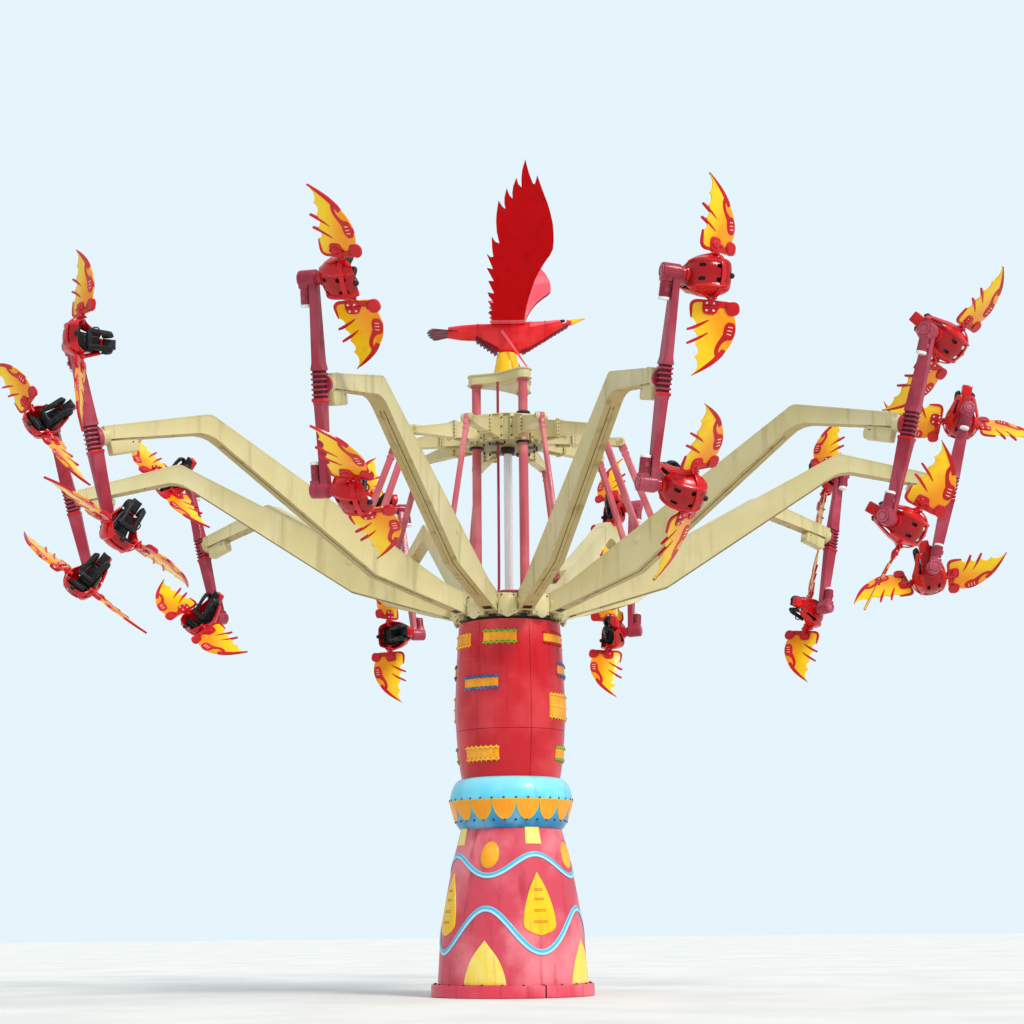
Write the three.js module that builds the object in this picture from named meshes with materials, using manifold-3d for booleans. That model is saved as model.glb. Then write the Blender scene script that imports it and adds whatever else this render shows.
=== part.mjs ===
// A flying tower ride with ten arms. Each arm carries a spinning boom with a
// winged one-seat gondola at each end, and a bird stands on top of the mast.
// Lengths are millimetres, +Z is up, and the origin is on the ground at the
// middle of the tower. Each arm's own frame has X outward, Y the way the riders
// fly, and Z up.
import * as THREE from "three";
import { mergeVertices } from "three/addons/utils/BufferGeometryUtils.js";
import Module from "manifold-3d";

const wasm = await Module();
wasm.setup();

const ARM_COUNT = 10;
const FIRST_ARM_DEG = -109.69;
const PIN_SIDES = 8;
const PIN_PLAY = 0.5;

// tower
const FLANGE = { radius: 1615, top: 236 };
const PEDESTAL_PROFILE = [[1482, 236.3], [1434, 1050], [1330, 1800], [1175, 2594], [1015, 3228]];
const BELT_PROFILE = [[1010, 3228.3], [1112, 3366], [1238, 3799], [1200, 4000], [1110, 4165], [1000, 4243]];
const DRUM_PROFILE = [[995, 4243.3], [1060, 4700], [1101, 5185], [1117, 5703], [1090, 6500], [1038, 7374]];
const WELL = { radius: 170, bottom: 4400 };

// turntable
const SLEW_RING = { inner: 560, outer: 900, bottom: 7374.4, top: 7425 };
const DISC = { inner: 130, outer: 1000, top: 7480 };
const CORE = { inner: 130, outer: 620, top: 7880 };
const LUG = { inner: 560, shoulder: 1130, nose: 1230, top: 7880, arm_gap: 10 };
const PIVOT = { r: 1150, z: 7720, pin_radius: 45, pin_reach: 210 };

// mast and star
const COLUMN = { ring: 650, radius: 95, bottom: 7880.3, top: 12476, bushing_play: 0.6 };
const TOP_PLATE = { bottom: 12470, top: 12680, lobe: 190 };
const STAR_HUB = { bottom: 11130, top: 11712, radius: 742 };
const CLEVIS = { r: 2362, z: 11213, pin_radius: 38, slot: 92, cheek: 42, boss: 95 };
const OUTRIGGER = { root: 700, root_top: 11640, root_bottom: 11190, root_width: 210, tip_r: 2190 };
const RAM = { radius: 88, bottom: 6950, top: 11129.7 };

// arm side profile, outward and up
const ARM = { width: 300, root_radius: 195, tip_r: 9000, tip_z: 10337, tip_depth: 250 };
const ARM_TOP = [[1586, 8066], [6700, 10781], [6870, 10850], [7020, 10828]];
const ARM_BOTTOM = [[7100, 10462], [6900, 10440], [6430, 10190], [3250, 8120]];
const ROD_PIN = { r: 3280, z: 8760, radius: 45 };
const POCKET = { width: 200, inner: 520, outer: 330, bottom: 8330, stub: 46 };
const ROD = { width: 90, section: 150, eye: 92 };

// boom
const BOOM_TILT_DEG = 15.33;
const BOOM_TURN_DEG = 2.78;
const BOOM = { half: 1742, out: 202.6, down: 173.5, end_width: 220, end_depth: 124 };
const BOOM_MID = { width: 270, depth: 210, straight: 230, taper: 520 };
const FLANGES = { radius: 165, arm_side: 40, spigot: 60, spigot_reach: 90 };
const GEARMOTOR = { length: 560, height: 270, width: 230, setback: 70, gap: 18 };
const GEAR_UNIT = { radius: 168, depth: 200 };
const ROLL_MOTOR = { radius: 95, reach: 470 };
const ROLL_FLANGE = { radius: 120, face: 110 };

// gondola, in its own frame: X the rider's right, Y forward, Z to the rider's head
const SHELL = { half_width: 285, inner_half_width: 225 };
const SHELL_OUTLINE = [
  [180, 400], [180, -85], [276, -297], [452, -400], [692, -400], [804, -290], [740, -110], [356, 70], [332, 400],
];
// the shell from behind, narrow at the head and wide at the hips
const SHELL_BELL = [
  [-200, -400], [200, -400], [285, -270], [285, -60], [240, 120], [160, 400],
  [-160, 400], [-240, 120], [-285, -60], [-285, -270],
];
const CAVITY_OUTLINE = [[344, 470], [344, -136], [436, -237], [900, -263], [900, 470]];
const HEAD_BLOCK = { half_width: 105, back: 190, front: 345, bottom: 390, top: 640 };
const HARNESS = { x: 150, width: 74, pad_half: 180, pad_back: 565, pad_front: 645, pad_bottom: -5, pad_top: 105 };
const HARNESS_OUTLINE = [[320, 390], [400, 550], [550, 520], [650, 0], [575, -20], [480, 420], [410, 430]];
const WING = { forward: 620, up: -110, thickness: 46, shaft_radius: 50, shaft_inner: 235, shaft_outer: 560 };
const WING_OUTLINE = [
  [400, 300], [450, 430], [1050, 380], [1400, 130], [1672, -262],
  [1400, -200], [1150, -350], [920, -360], [450, -360], [400, -270],
];

// rest roll of each gondola about its flight line, upper and lower, head inward
const ROLL_DEG = [
  [60.1, 42.9], [97.4, 62.2], [59.1, 71.5], [6, 26.8], [90, 88.3],
  [80, 84.5], [88, 106.1], [62, 51.4], [69.9, 54], [103.3, 45.7],
];

// tilt of each gondola's right and left wing about its span, leading edge down; upper gondola, then lower
const WING_TILT_DEG = [
  [[15, 0], [8, -10]], [[-25, 15], [-25, -40]], [[0, 12], [50, -30]], [[-45, 65], [45, -50]], [[-20, 30], [33, -30]],
  [[10, -10], [-20, -20]], [[-30, 10], [-35, 20]], [[12, 5], [38, 40]], [[-45, 14], [13, 2]], [[-5, 35], [8, 6]],
];

// bird, seen from the front: across and up
const BIRD = { body_half: 200, wing_half: 22, wing_lean_deg: 47, shoulder_y: 120, shoulder_z: 13800 };
const BIRD_BODY = [
  [-1710, 13560], [-1500, 13840], [-900, 13850], [-500, 13870], [300, 13910], [800, 13900],
  [1150, 13960], [1330, 13930], [1670, 13965], [1480, 13850], [1250, 13790], [800, 13560],
  [330, 13150], [-230, 13150], [-520, 13500], [-1000, 13480],
];
// one wing in its own plane: across, and from the shoulder to the feather tips
const BIRD_WING = [
  [-300, -110], [-285, 65], [-355, 310], [-270, 315], [-360, 510], [-250, 490], [-390, 755], [-240, 715],
  [-370, 1025], [-250, 1015], [-395, 1330], [-265, 1295], [-390, 1650], [-260, 1585], [-290, 2050], [-130, 1885],
  [-185, 2575], [-140, 2865], [5, 2670], [-20, 2930], [30, 3140], [145, 2900], [160, 3175], [225, 3365],
  [330, 3145], [340, 3520], [405, 3765], [580, 3210], [645, 3415], [775, 3025], [920, 2560], [980, 2130],
  [970, 1765], [825, 1500], [665, 1210], [530, 840], [430, 460], [375, 80], [370, -110],
];
const CONE = { base: 290, top: 205, bottom: 12680.3, seat: 13149.7 };

function finish(color, roughness, metalness) {
  return new THREE.MeshStandardMaterial({ color, roughness, metalness });
}

const RED_PAINT = finish(0xc23442, 0.4, 0);
const CREAM_PAINT = finish(0xdcd0a0, 0.45, 0);
const MAROON_PAINT = finish(0xa63c50, 0.4, 0);
const BELT_PAINT = finish(0x50c8ee, 0.45, 0);
const SCARLET_PAINT = finish(0xd8202a, 0.35, 0);
const YELLOW_PAINT = finish(0xf6c62a, 0.45, 0);
const CHROME = finish(0xc8c8cc, 0.12, 1);

// closed shapes joined and cut by the boolean library
function solid(geometry) {
  const bare = geometry.clone();
  for (const name of Object.keys(bare.attributes)) {
    if (name !== "position") bare.deleteAttribute(name);
  }
  const merged = mergeVertices(bare, 1e-3);
  const index = [];
  for (let i = 0; i < merged.index.count; i += 3) {
    const [a, b, c] = [0, 1, 2].map((k) => merged.index.getX(i + k));
    if (a !== b && b !== c && c !== a) index.push(a, b, c);
  }
  const mesh = new wasm.Mesh({
    numProp: 3,
    vertProperties: new Float32Array(merged.attributes.position.array),
    triVerts: new Uint32Array(index),
  });
  return new wasm.Manifold(mesh);
}

function geometryOf(shape) {
  const mesh = shape.getMesh();
  const geometry = new THREE.BufferGeometry();
  geometry.setAttribute("position", new THREE.BufferAttribute(new Float32Array(mesh.vertProperties), 3));
  geometry.setIndex(new THREE.BufferAttribute(new Uint32Array(mesh.triVerts), 1));
  geometry.computeVertexNormals();
  return geometry;
}

function joined(...geometries) {
  return geometries.map(solid).reduce((all, one) => all.add(one));
}

// a block between two corners
function block(low, high) {
  const size = high.map((v, i) => v - low[i]);
  return new THREE.BoxGeometry(...size).translate(...low.map((v, i) => v + size[i] / 2));
}

// a round bar along X, Y or Z from one value to another, through the given point of the other two
function bar(axis, radius, from, to, at = [0, 0], sides = PIN_SIDES) {
  const rod = new THREE.CylinderGeometry(radius, radius, to - from, sides);
  if (axis === "X") return rod.rotateZ(Math.PI / 2).translate((from + to) / 2, at[0], at[1]);
  if (axis === "Z") return rod.rotateX(Math.PI / 2).translate(at[0], at[1], (from + to) / 2);
  return rod.translate(at[0], (from + to) / 2, at[1]);
}

// the corner radius of a many-sided bore that a many-sided pin can turn in
function boreFor(pinRadius) {
  return (pinRadius + PIN_PLAY) / Math.cos(Math.PI / PIN_SIDES);
}

// an outline given as outward and up, with its thickness along Y
function sidePlate(points, from, to, hole) {
  const shape = new THREE.Shape(points.map(([x, z]) => new THREE.Vector2(x, z)));
  if (hole) {
    const path = new THREE.Path();
    for (let i = 0; i <= PIN_SIDES; i += 1) {
      const angle = (-2 * Math.PI * i) / PIN_SIDES;
      const x = hole[0] + hole[2] * Math.cos(angle);
      const z = hole[1] + hole[2] * Math.sin(angle);
      if (i === 0) path.moveTo(x, z);
      else path.lineTo(x, z);
    }
    shape.holes.push(path);
  }
  const plate = new THREE.ExtrudeGeometry(shape, { depth: to - from, bevelEnabled: false });
  return plate.rotateX(Math.PI / 2).translate(0, to, 0);
}

// an outline given as across and forward, with its thickness along Z
function flatPlate(points, from, to) {
  const shape = new THREE.Shape(points.map(([x, y]) => new THREE.Vector2(x, y)));
  return new THREE.ExtrudeGeometry(shape, { depth: to - from, bevelEnabled: false }).translate(0, 0, from);
}

// an outline given as forward and up, with its thickness along X
function crossPlate(points, from, to) {
  return sidePlate(points, 0, to - from).rotateZ(Math.PI / 2).translate(to, 0, 0);
}

function turned(profile, sides) {
  const points = profile.map(([r, z]) => new THREE.Vector2(r, z));
  return new THREE.LatheGeometry(points, sides).rotateX(Math.PI / 2);
}

function ring(inner, outer, bottom, top, sides) {
  return turned([[inner, bottom], [outer, bottom], [outer, top], [inner, top], [inner, bottom]], sides);
}

function arc(cx, cz, radius, from, to, steps) {
  const points = [];
  for (let i = 0; i <= steps; i += 1) {
    const angle = THREE.MathUtils.degToRad(from + ((to - from) * i) / steps);
    points.push([cx + radius * Math.cos(angle), cz + radius * Math.sin(angle)]);
  }
  return points;
}

function piece(name, shape, material) {
  const geometry = shape.getMesh ? geometryOf(shape) : shape;
  const mesh = new THREE.Mesh(geometry, material);
  mesh.name = name;
  return mesh;
}

function armFrame(index) {
  const frame = new THREE.Group();
  frame.rotation.z = THREE.MathUtils.degToRad(FIRST_ARM_DEG + (360 / ARM_COUNT) * index);
  return frame;
}

const TOWER_SIDES = 36;

function tower() {
  const group = new THREE.Group();
  const flange = turned([[0, 0], [FLANGE.radius, 0], [FLANGE.radius, FLANGE.top], [0, FLANGE.top]], TOWER_SIDES);
  const closed = (profile) => [[0, profile[0][1]], ...profile, [0, profile[profile.length - 1][1]]];
  const drumTop = DRUM_PROFILE[DRUM_PROFILE.length - 1][1];
  const drum = [
    [0, DRUM_PROFILE[0][1]], ...DRUM_PROFILE,
    [WELL.radius, drumTop], [WELL.radius, WELL.bottom], [0, WELL.bottom],
  ];
  group.add(piece("foot_flange", joined(flange), RED_PAINT));
  group.add(piece("pedestal_cladding", joined(turned(closed(PEDESTAL_PROFILE), TOWER_SIDES)), RED_PAINT));
  group.add(piece("belt_ring", joined(turned(closed(BELT_PROFILE), TOWER_SIDES)), BELT_PAINT));
  group.add(piece("drum_cladding", joined(turned(drum, TOWER_SIDES)), RED_PAINT));
  return group;
}

// the lugs stand between the arms, with their sides parallel to the arms beside them
function lug() {
  const half = Math.PI / ARM_COUNT;
  const side = (x) => x * Math.tan(half) - (ARM.width / 2 + LUG.arm_gap) / Math.cos(half);
  const outline = [
    [LUG.inner, -side(LUG.inner)], [LUG.shoulder, -side(LUG.shoulder)],
    [LUG.nose, -90], [LUG.nose, 90], [LUG.shoulder, side(LUG.shoulder)], [LUG.inner, side(LUG.inner)],
  ];
  return flatPlate(outline, DISC.top - 40, LUG.top);
}

function turntable() {
  const body = joined(
    ring(SLEW_RING.inner, SLEW_RING.outer, SLEW_RING.bottom, SLEW_RING.top + 5, TOWER_SIDES),
    ring(DISC.inner, DISC.outer, SLEW_RING.top, DISC.top, TOWER_SIDES),
    ring(CORE.inner, CORE.outer, SLEW_RING.top, CORE.top, 20),
  );
  let all = body;
  const halfPitch = 180 / ARM_COUNT;
  for (let i = 0; i < ARM_COUNT; i += 1) {
    const angle = FIRST_ARM_DEG + 2 * halfPitch * i;
    all = all.add(solid(lug().rotateZ(THREE.MathUtils.degToRad(angle + halfPitch))));
  }
  const socket = boreFor(PIVOT.pin_radius);
  for (let i = 0; i < ARM_COUNT; i += 1) {
    const angle = THREE.MathUtils.degToRad(FIRST_ARM_DEG + 2 * halfPitch * i);
    const reach = PIVOT.pin_reach + 0.4;
    const hole = bar("Y", socket, -reach, reach, [PIVOT.r, PIVOT.z]).rotateZ(angle);
    all = all.subtract(solid(hole));
  }
  return piece("turntable", all, CREAM_PAINT);
}

const COLUMN_ANGLES = [180, -60, 60];
const COLUMN_SIDES = 12;

function guideMast() {
  const corner = (angle) => [
    COLUMN.ring * Math.cos(THREE.MathUtils.degToRad(angle)),
    COLUMN.ring * Math.sin(THREE.MathUtils.degToRad(angle)),
  ];
  const outline = [];
  for (const angle of [-60, 60, 180]) {
    const [x, y] = corner(angle);
    outline.push(...arc(x, y, TOP_PLATE.lobe, angle - 75, angle + 75, 5));
  }
  const plate = flatPlate(outline, TOP_PLATE.bottom, TOP_PLATE.top);
  const columns = COLUMN_ANGLES.map((angle) =>
    bar("Z", COLUMN.radius, COLUMN.bottom, COLUMN.top, corner(angle), COLUMN_SIDES));
  return piece("guide_mast", joined(plate, ...columns), MAROON_PAINT);
}

function outrigger() {
  const { root, root_top, root_bottom, root_width, tip_r } = OUTRIGGER;
  const cheek_out = CLEVIS.slot / 2 + CLEVIS.cheek;
  const beam = sidePlate(
    [[root - 60, root_bottom], [tip_r, CLEVIS.z - 75], [tip_r, CLEVIS.z + 75], [root - 60, root_top]],
    -root_width / 2, root_width / 2,
  );
  const cheek = [
    [tip_r - 80, CLEVIS.z - 75],
    ...arc(CLEVIS.r, CLEVIS.z, CLEVIS.boss, -60, 60, 2),
    [tip_r - 80, CLEVIS.z + 75],
  ];
  const left = sidePlate(cheek, CLEVIS.slot / 2, cheek_out);
  const right = sidePlate(cheek, -cheek_out, -CLEVIS.slot / 2);
  const pin = bar("Y", CLEVIS.pin_radius, -cheek_out + 5, cheek_out - 5, [CLEVIS.r, CLEVIS.z]);
  return joined(beam, left, right, pin);
}

function star() {
  const { radius, bottom, top } = STAR_HUB;
  const flat = THREE.MathUtils.degToRad(FIRST_ARM_DEG - 90 + 180 / ARM_COUNT);
  const hub = turned([[0, bottom], [radius, bottom], [radius, top], [0, top]], ARM_COUNT);
  let all = solid(hub.rotateZ(flat));
  const arm = outrigger();
  for (let i = 0; i < ARM_COUNT; i += 1) {
    all = all.add(arm.rotate([0, 0, FIRST_ARM_DEG + (360 / ARM_COUNT) * i]));
  }
  for (const angle of COLUMN_ANGLES) {
    const a = THREE.MathUtils.degToRad(angle);
    const at = [COLUMN.ring * Math.cos(a), COLUMN.ring * Math.sin(a)];
    all = all.subtract(solid(bar("Z", COLUMN.radius + COLUMN.bushing_play, bottom - 500, top + 500, at, COLUMN_SIDES)));
  }
  return piece("star_frame", all, CREAM_PAINT);
}

function armShape() {
  const up = THREE.MathUtils.degToRad(BOOM_TILT_DEG);
  const across = [Math.sin(up), Math.cos(up)];
  const tipBottom = [ARM.tip_r - across[0] * ARM.tip_depth, ARM.tip_z - across[1] * ARM.tip_depth];
  const outline = [
    ...arc(PIVOT.r, PIVOT.z, ARM.root_radius, 118, 287, 5),
    ...[...ARM_BOTTOM].reverse(), tipBottom, [ARM.tip_r, ARM.tip_z], ...[...ARM_TOP].reverse(),
  ];
  const box = sidePlate(outline, -ARM.width / 2, ARM.width / 2);
  const pin = bar("Y", PIVOT.pin_radius, -PIVOT.pin_reach, PIVOT.pin_reach, [PIVOT.r, PIVOT.z]);
  const pocket = sidePlate(
    [
      [ROD_PIN.r - POCKET.inner, 9600], [ROD_PIN.r - POCKET.inner, POCKET.bottom],
      [ROD_PIN.r + POCKET.outer - 60, POCKET.bottom + 60], [ROD_PIN.r + POCKET.outer, 9600],
    ],
    -POCKET.width / 2, POCKET.width / 2,
  );
  const boss = (side) => {
    const inner = POCKET.width / 2 - POCKET.stub;
    const ends = [inner * side, (ARM.width / 2 + 18) * side].sort((a, b) => a - b);
    return bar("Y", ROD_PIN.radius, ends[0], ends[1], [ROD_PIN.r, ROD_PIN.z], 6);
  };
  return solid(box).subtract(solid(pocket)).add(joined(pin, boss(1), boss(-1)));
}

// what sits square to the boom's shaft, with the shaft along X and the arm's end face at X = 0
function armTip() {
  const { length, height, width, setback, gap } = GEARMOTOR;
  const top = BOOM.down - ARM.tip_depth - gap;
  const motor = block([-setback - length, -width / 2, top - height], [-setback, width / 2, top]);
  const hanger = block([-setback - length + 90, -80, top - 20], [-setback - 60, 80, top + gap + 30]);
  const flange = bar("X", FLANGES.radius, -90, FLANGES.arm_side, [0, 0], 10);
  return joined(motor, hanger, flange);
}

function arm(index) {
  const up = THREE.MathUtils.degToRad(BOOM_TILT_DEG);
  const at = [ARM.tip_r - Math.sin(up) * BOOM.down, 0, ARM.tip_z - Math.cos(up) * BOOM.down];
  const tip = armTip().rotate([0, BOOM_TILT_DEG, 0]).translate(at);
  const socket = solid(bar("X", boreFor(FLANGES.spigot), -FLANGES.spigot_reach - 0.4, 200));
  const hole = socket.rotate([0, BOOM_TILT_DEG, 0]).translate(at);
  return piece(`arm_${index + 1}`, armShape().add(tip).subtract(hole), CREAM_PAINT);
}

function tieRod(index) {
  const lean = Math.atan2(ROD_PIN.r - CLEVIS.r, CLEVIS.z - ROD_PIN.z);
  const length = Math.hypot(ROD_PIN.r - CLEVIS.r, CLEVIS.z - ROD_PIN.z);
  const half = ROD.section / 2;
  const outline = [
    ...arc(0, 0, ROD.eye, 0, 180, 4), [-half, -160], [-half, -length + 160],
    ...arc(0, -length, ROD.eye, 180, 360, 4), [half, -length + 160], [half, -160],
  ];
  const bar_ = sidePlate(outline, -ROD.width / 2, ROD.width / 2, [0, 0, boreFor(CLEVIS.pin_radius)]);
  const rod = piece(`tie_rod_${index + 1}`, bar_, MAROON_PAINT);
  rod.position.set(CLEVIS.r, 0, CLEVIS.z);
  rod.rotation.y = -lean;
  return rod;
}

function boomShape() {
  const { half, end_width, end_depth, out } = BOOM;
  const { width: mid_width, depth: mid_depth, straight, taper } = BOOM_MID;
  const profile = (end, mid) => [
    [-end / 2, -half], [-end / 2, -taper], [-mid / 2, -straight], [-mid / 2, straight], [-end / 2, taper],
    [-end / 2, half], [end / 2, half], [end / 2, taper], [mid / 2, straight], [mid / 2, -straight],
    [end / 2, -taper], [end / 2, -half],
  ].reverse();
  const wide = sidePlate(profile(end_width, mid_width), -mid_depth / 2, mid_depth / 2);
  const deep = crossPlate(profile(end_depth, mid_depth), -mid_width / 2, mid_width / 2);
  const beam = solid(wide).intersect(solid(deep));
  const hub = bar("X", FLANGES.radius, FLANGES.arm_side + 0.4 - out, 0, [0, 0], 10);
  const spigot = bar("X", FLANGES.spigot, -out - FLANGES.spigot_reach, 0);
  let all = beam.add(joined(hub, spigot));
  for (const end of [-1, 1]) {
    const z = end * half;
    const face = end_depth / 2;
    const gear = bar("Y", GEAR_UNIT.radius, -face - GEAR_UNIT.depth, face, [0, z], 12);
    const output = bar("Y", ROLL_FLANGE.radius, 0, ROLL_FLANGE.face, [0, z], 8);
    const level = -face - GEAR_UNIT.depth / 2;
    const near = z - end * 60;
    const span = (far) => [near, z - end * far].sort((a, b) => a - b);
    const motor = bar("Z", ROLL_MOTOR.radius, ...span(ROLL_MOTOR.reach), [0, level]);
    all = all.add(joined(gear, output, motor));
  }
  return all;
}

function wing(side, tilt) {
  const outline = WING_OUTLINE.map(([x, y]) => [x * side, y]);
  if (side < 0) outline.reverse();
  const plate = flatPlate(outline.reverse(), -WING.thickness / 2, WING.thickness / 2);
  return plate.rotateX(THREE.MathUtils.degToRad(-tilt)).translate(0, WING.forward, WING.up);
}

function gondolaShape([right, left]) {
  const { half_width, inner_half_width } = SHELL;
  const shell = crossPlate([...SHELL_OUTLINE].reverse(), -half_width, half_width);
  const cavity = crossPlate(CAVITY_OUTLINE, -inner_half_width, inner_half_width);
  const bell = sidePlate(SHELL_BELL, 0, 900);
  const seat = solid(shell).intersect(solid(bell)).subtract(solid(cavity));
  const head = block(
    [-HEAD_BLOCK.half_width, HEAD_BLOCK.back, HEAD_BLOCK.bottom],
    [HEAD_BLOCK.half_width, HEAD_BLOCK.front, HEAD_BLOCK.top],
  );
  const hub = bar("Y", ROLL_FLANGE.radius, ROLL_FLANGE.face + 0.4, 260, [0, 0], 8);
  const bars = [-1, 1].map((s) =>
    crossPlate(HARNESS_OUTLINE, s * HARNESS.x - HARNESS.width / 2, s * HARNESS.x + HARNESS.width / 2));
  const pad = block(
    [-HARNESS.pad_half, HARNESS.pad_back, HARNESS.pad_bottom],
    [HARNESS.pad_half, HARNESS.pad_front, HARNESS.pad_top],
  );
  const shafts = [[WING.shaft_inner, WING.shaft_outer], [-WING.shaft_outer, -WING.shaft_inner]].map((ends) =>
    bar("X", WING.shaft_radius, ...ends, [WING.forward, WING.up]));
  return seat.add(joined(head, hub, ...bars, pad, ...shafts, wing(1, right), wing(-1, left)));
}

// both wings are raised and spread sideways from the shoulders
function birdWing(side) {
  const plate = sidePlate([...BIRD_WING].reverse(), -BIRD.wing_half, BIRD.wing_half);
  return plate
    .rotateX(THREE.MathUtils.degToRad(-side * BIRD.wing_lean_deg))
    .translate(0, side * BIRD.shoulder_y, BIRD.shoulder_z);
}

function bird() {
  const body = sidePlate([...BIRD_BODY].reverse(), -BIRD.body_half, BIRD.body_half);
  return piece("eagle_statue", joined(body, birdWing(-1), birdWing(1)), SCARLET_PAINT);
}

function eagleStand() {
  const cone = turned([[0, CONE.bottom], [CONE.base, CONE.bottom], [CONE.top, CONE.seat], [0, CONE.seat]], 16);
  return piece("eagle_stand", joined(cone), YELLOW_PAINT);
}

const ride = new THREE.Group();
ride.add(tower(), turntable(), guideMast(), star(), eagleStand(), bird());

const ram = bar("Z", RAM.radius, RAM.bottom, RAM.top, [0, 0], 16);
ride.add(piece("ram_rod", ram, CHROME));

const boomGeometry = geometryOf(boomShape());

for (let i = 0; i < ARM_COUNT; i += 1) {
  const frame = armFrame(i);
  frame.add(arm(i), tieRod(i));

  const tilt = THREE.MathUtils.degToRad(BOOM_TILT_DEG);
  const shaft = new THREE.Group();
  shaft.position.set(
    ARM.tip_r - Math.sin(tilt) * BOOM.down + Math.cos(tilt) * BOOM.out,
    0,
    ARM.tip_z - Math.cos(tilt) * BOOM.down - Math.sin(tilt) * BOOM.out,
  );
  shaft.rotation.y = tilt;
  const spin = new THREE.Group();
  spin.rotation.x = THREE.MathUtils.degToRad(-BOOM_TURN_DEG);
  spin.add(piece(`boom_${i + 1}`, boomGeometry, MAROON_PAINT));

  [["upper", 1], ["lower", -1]].forEach(([where, end], n) => {
    const gondola = piece(`gondola_${i + 1}_${where}`, gondolaShape(WING_TILT_DEG[i][n]), SCARLET_PAINT);
    gondola.position.z = end * BOOM.half;
    gondola.rotation.y = THREE.MathUtils.degToRad(-ROLL_DEG[i][n]);
    spin.add(gondola);
  });
  shaft.add(spin);
  frame.add(shaft);
  ride.add(frame);
}

export default ride;
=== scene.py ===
import math

import bmesh
import bpy
from mathutils import Matrix, Vector


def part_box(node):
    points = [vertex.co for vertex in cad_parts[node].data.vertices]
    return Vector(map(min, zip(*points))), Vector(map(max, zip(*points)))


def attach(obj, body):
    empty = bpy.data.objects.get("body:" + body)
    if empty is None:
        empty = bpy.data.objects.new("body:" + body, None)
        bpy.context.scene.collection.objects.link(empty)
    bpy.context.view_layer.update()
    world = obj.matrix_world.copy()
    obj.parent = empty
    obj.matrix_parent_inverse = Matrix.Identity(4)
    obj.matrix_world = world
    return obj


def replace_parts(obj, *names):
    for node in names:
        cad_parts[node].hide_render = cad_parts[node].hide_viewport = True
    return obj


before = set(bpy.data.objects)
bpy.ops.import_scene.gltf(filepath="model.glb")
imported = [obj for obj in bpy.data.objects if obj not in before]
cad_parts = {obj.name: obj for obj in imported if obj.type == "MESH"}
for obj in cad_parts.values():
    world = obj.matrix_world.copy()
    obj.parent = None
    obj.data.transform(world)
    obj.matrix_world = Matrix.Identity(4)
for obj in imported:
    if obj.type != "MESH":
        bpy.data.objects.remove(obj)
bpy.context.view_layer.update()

# Viewpoint, daylight and floor. The eye stands about 40 m in front of the ride at head height and looks up
# at it. A high sun on the right is softened by a pale sky, and the ride stands on a pale level floor.
EYE_DISTANCE = 39.461
EYE_HEIGHT = 1.401
EYE_UP = math.radians(11.962)
EYE_PAN = math.radians(0.109)
EYE_ROLL = math.radians(0.5685)
EYE_LENS = 68.25
SUN_FROM = Vector((0.62, -0.72, 0.95))
SUN_STRENGTH = 2.3
SUN_SOFTNESS = math.radians(16)
SUN_TINT = (1.0, 0.97, 0.92)
SKY_TINT = (0.83, 0.92, 1.0, 1)
SKY_STRENGTH = 0.72
SKY_SEEN = (0.79, 0.905, 0.975, 1)
FLOOR_RADIUS = 160.0
FLOOR_SIDES = 96
FLOOR_DROP = 0.002

eye = bpy.data.objects.new("eye", bpy.data.cameras.new("eye"))
eye.data.lens = EYE_LENS
eye.data.clip_end = 400
eye_turn = Matrix.Rotation(-EYE_PAN, 4, "Z") @ Matrix.Rotation(math.pi / 2 + EYE_UP, 4, "X")
eye.matrix_world = (
    Matrix.Translation((0, -EYE_DISTANCE, EYE_HEIGHT)) @ eye_turn @ Matrix.Rotation(-EYE_ROLL, 4, "Z")
)
bpy.context.collection.objects.link(eye)
bpy.context.scene.camera = eye
bpy.context.scene.view_settings.view_transform = "Standard"

sun = bpy.data.objects.new("sun", bpy.data.lights.new("sun", "SUN"))
sun.data.energy = SUN_STRENGTH
sun.data.angle = SUN_SOFTNESS
sun.data.color = SUN_TINT
sun.rotation_euler = SUN_FROM.to_track_quat("Z", "Y").to_euler()
bpy.context.collection.objects.link(sun)

sky = bpy.data.worlds.new("sky")
sky.use_nodes = True
sky_light = sky.node_tree.nodes["Background"]
sky_light.inputs["Color"].default_value = SKY_TINT
sky_light.inputs["Strength"].default_value = SKY_STRENGTH
sky_view = sky.node_tree.nodes.new("ShaderNodeBackground")
sky_view.inputs["Color"].default_value = SKY_SEEN
sky_choice = sky.node_tree.nodes.new("ShaderNodeMixShader")
sky_path = sky.node_tree.nodes.new("ShaderNodeLightPath")
sky.node_tree.links.new(sky_path.outputs["Is Camera Ray"], sky_choice.inputs[0])
sky.node_tree.links.new(sky_light.outputs[0], sky_choice.inputs[1])
sky.node_tree.links.new(sky_view.outputs[0], sky_choice.inputs[2])
sky.node_tree.links.new(sky_choice.outputs[0], sky.node_tree.nodes["World Output"].inputs["Surface"])
bpy.context.scene.world = sky


def paint(red, green, blue):
    """A paint's colour from screen values of 0 to 255."""
    shares = [value / 255 for value in (red, green, blue)]
    return (*[s / 12.92 if s < 0.04 else ((s + 0.055) / 1.055) ** 2.4 for s in shares], 1)


class Field:
    """An output of a shader node. Arithmetic on it adds Math nodes."""

    def __init__(self, finish, socket):
        self.finish = finish
        self.socket = socket

    def maths(self, operation, *values):
        return self.finish.node("Math", {"operation": operation}, dict(enumerate(values)))

    def __add__(self, other):
        return self.maths("ADD", self, other)

    def __sub__(self, other):
        return self.maths("SUBTRACT", self, other)

    def __rsub__(self, other):
        return self.maths("SUBTRACT", other, self)

    def __mul__(self, other):
        return self.maths("MULTIPLY", self, other)

    __radd__ = __add__
    __rmul__ = __mul__


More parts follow.
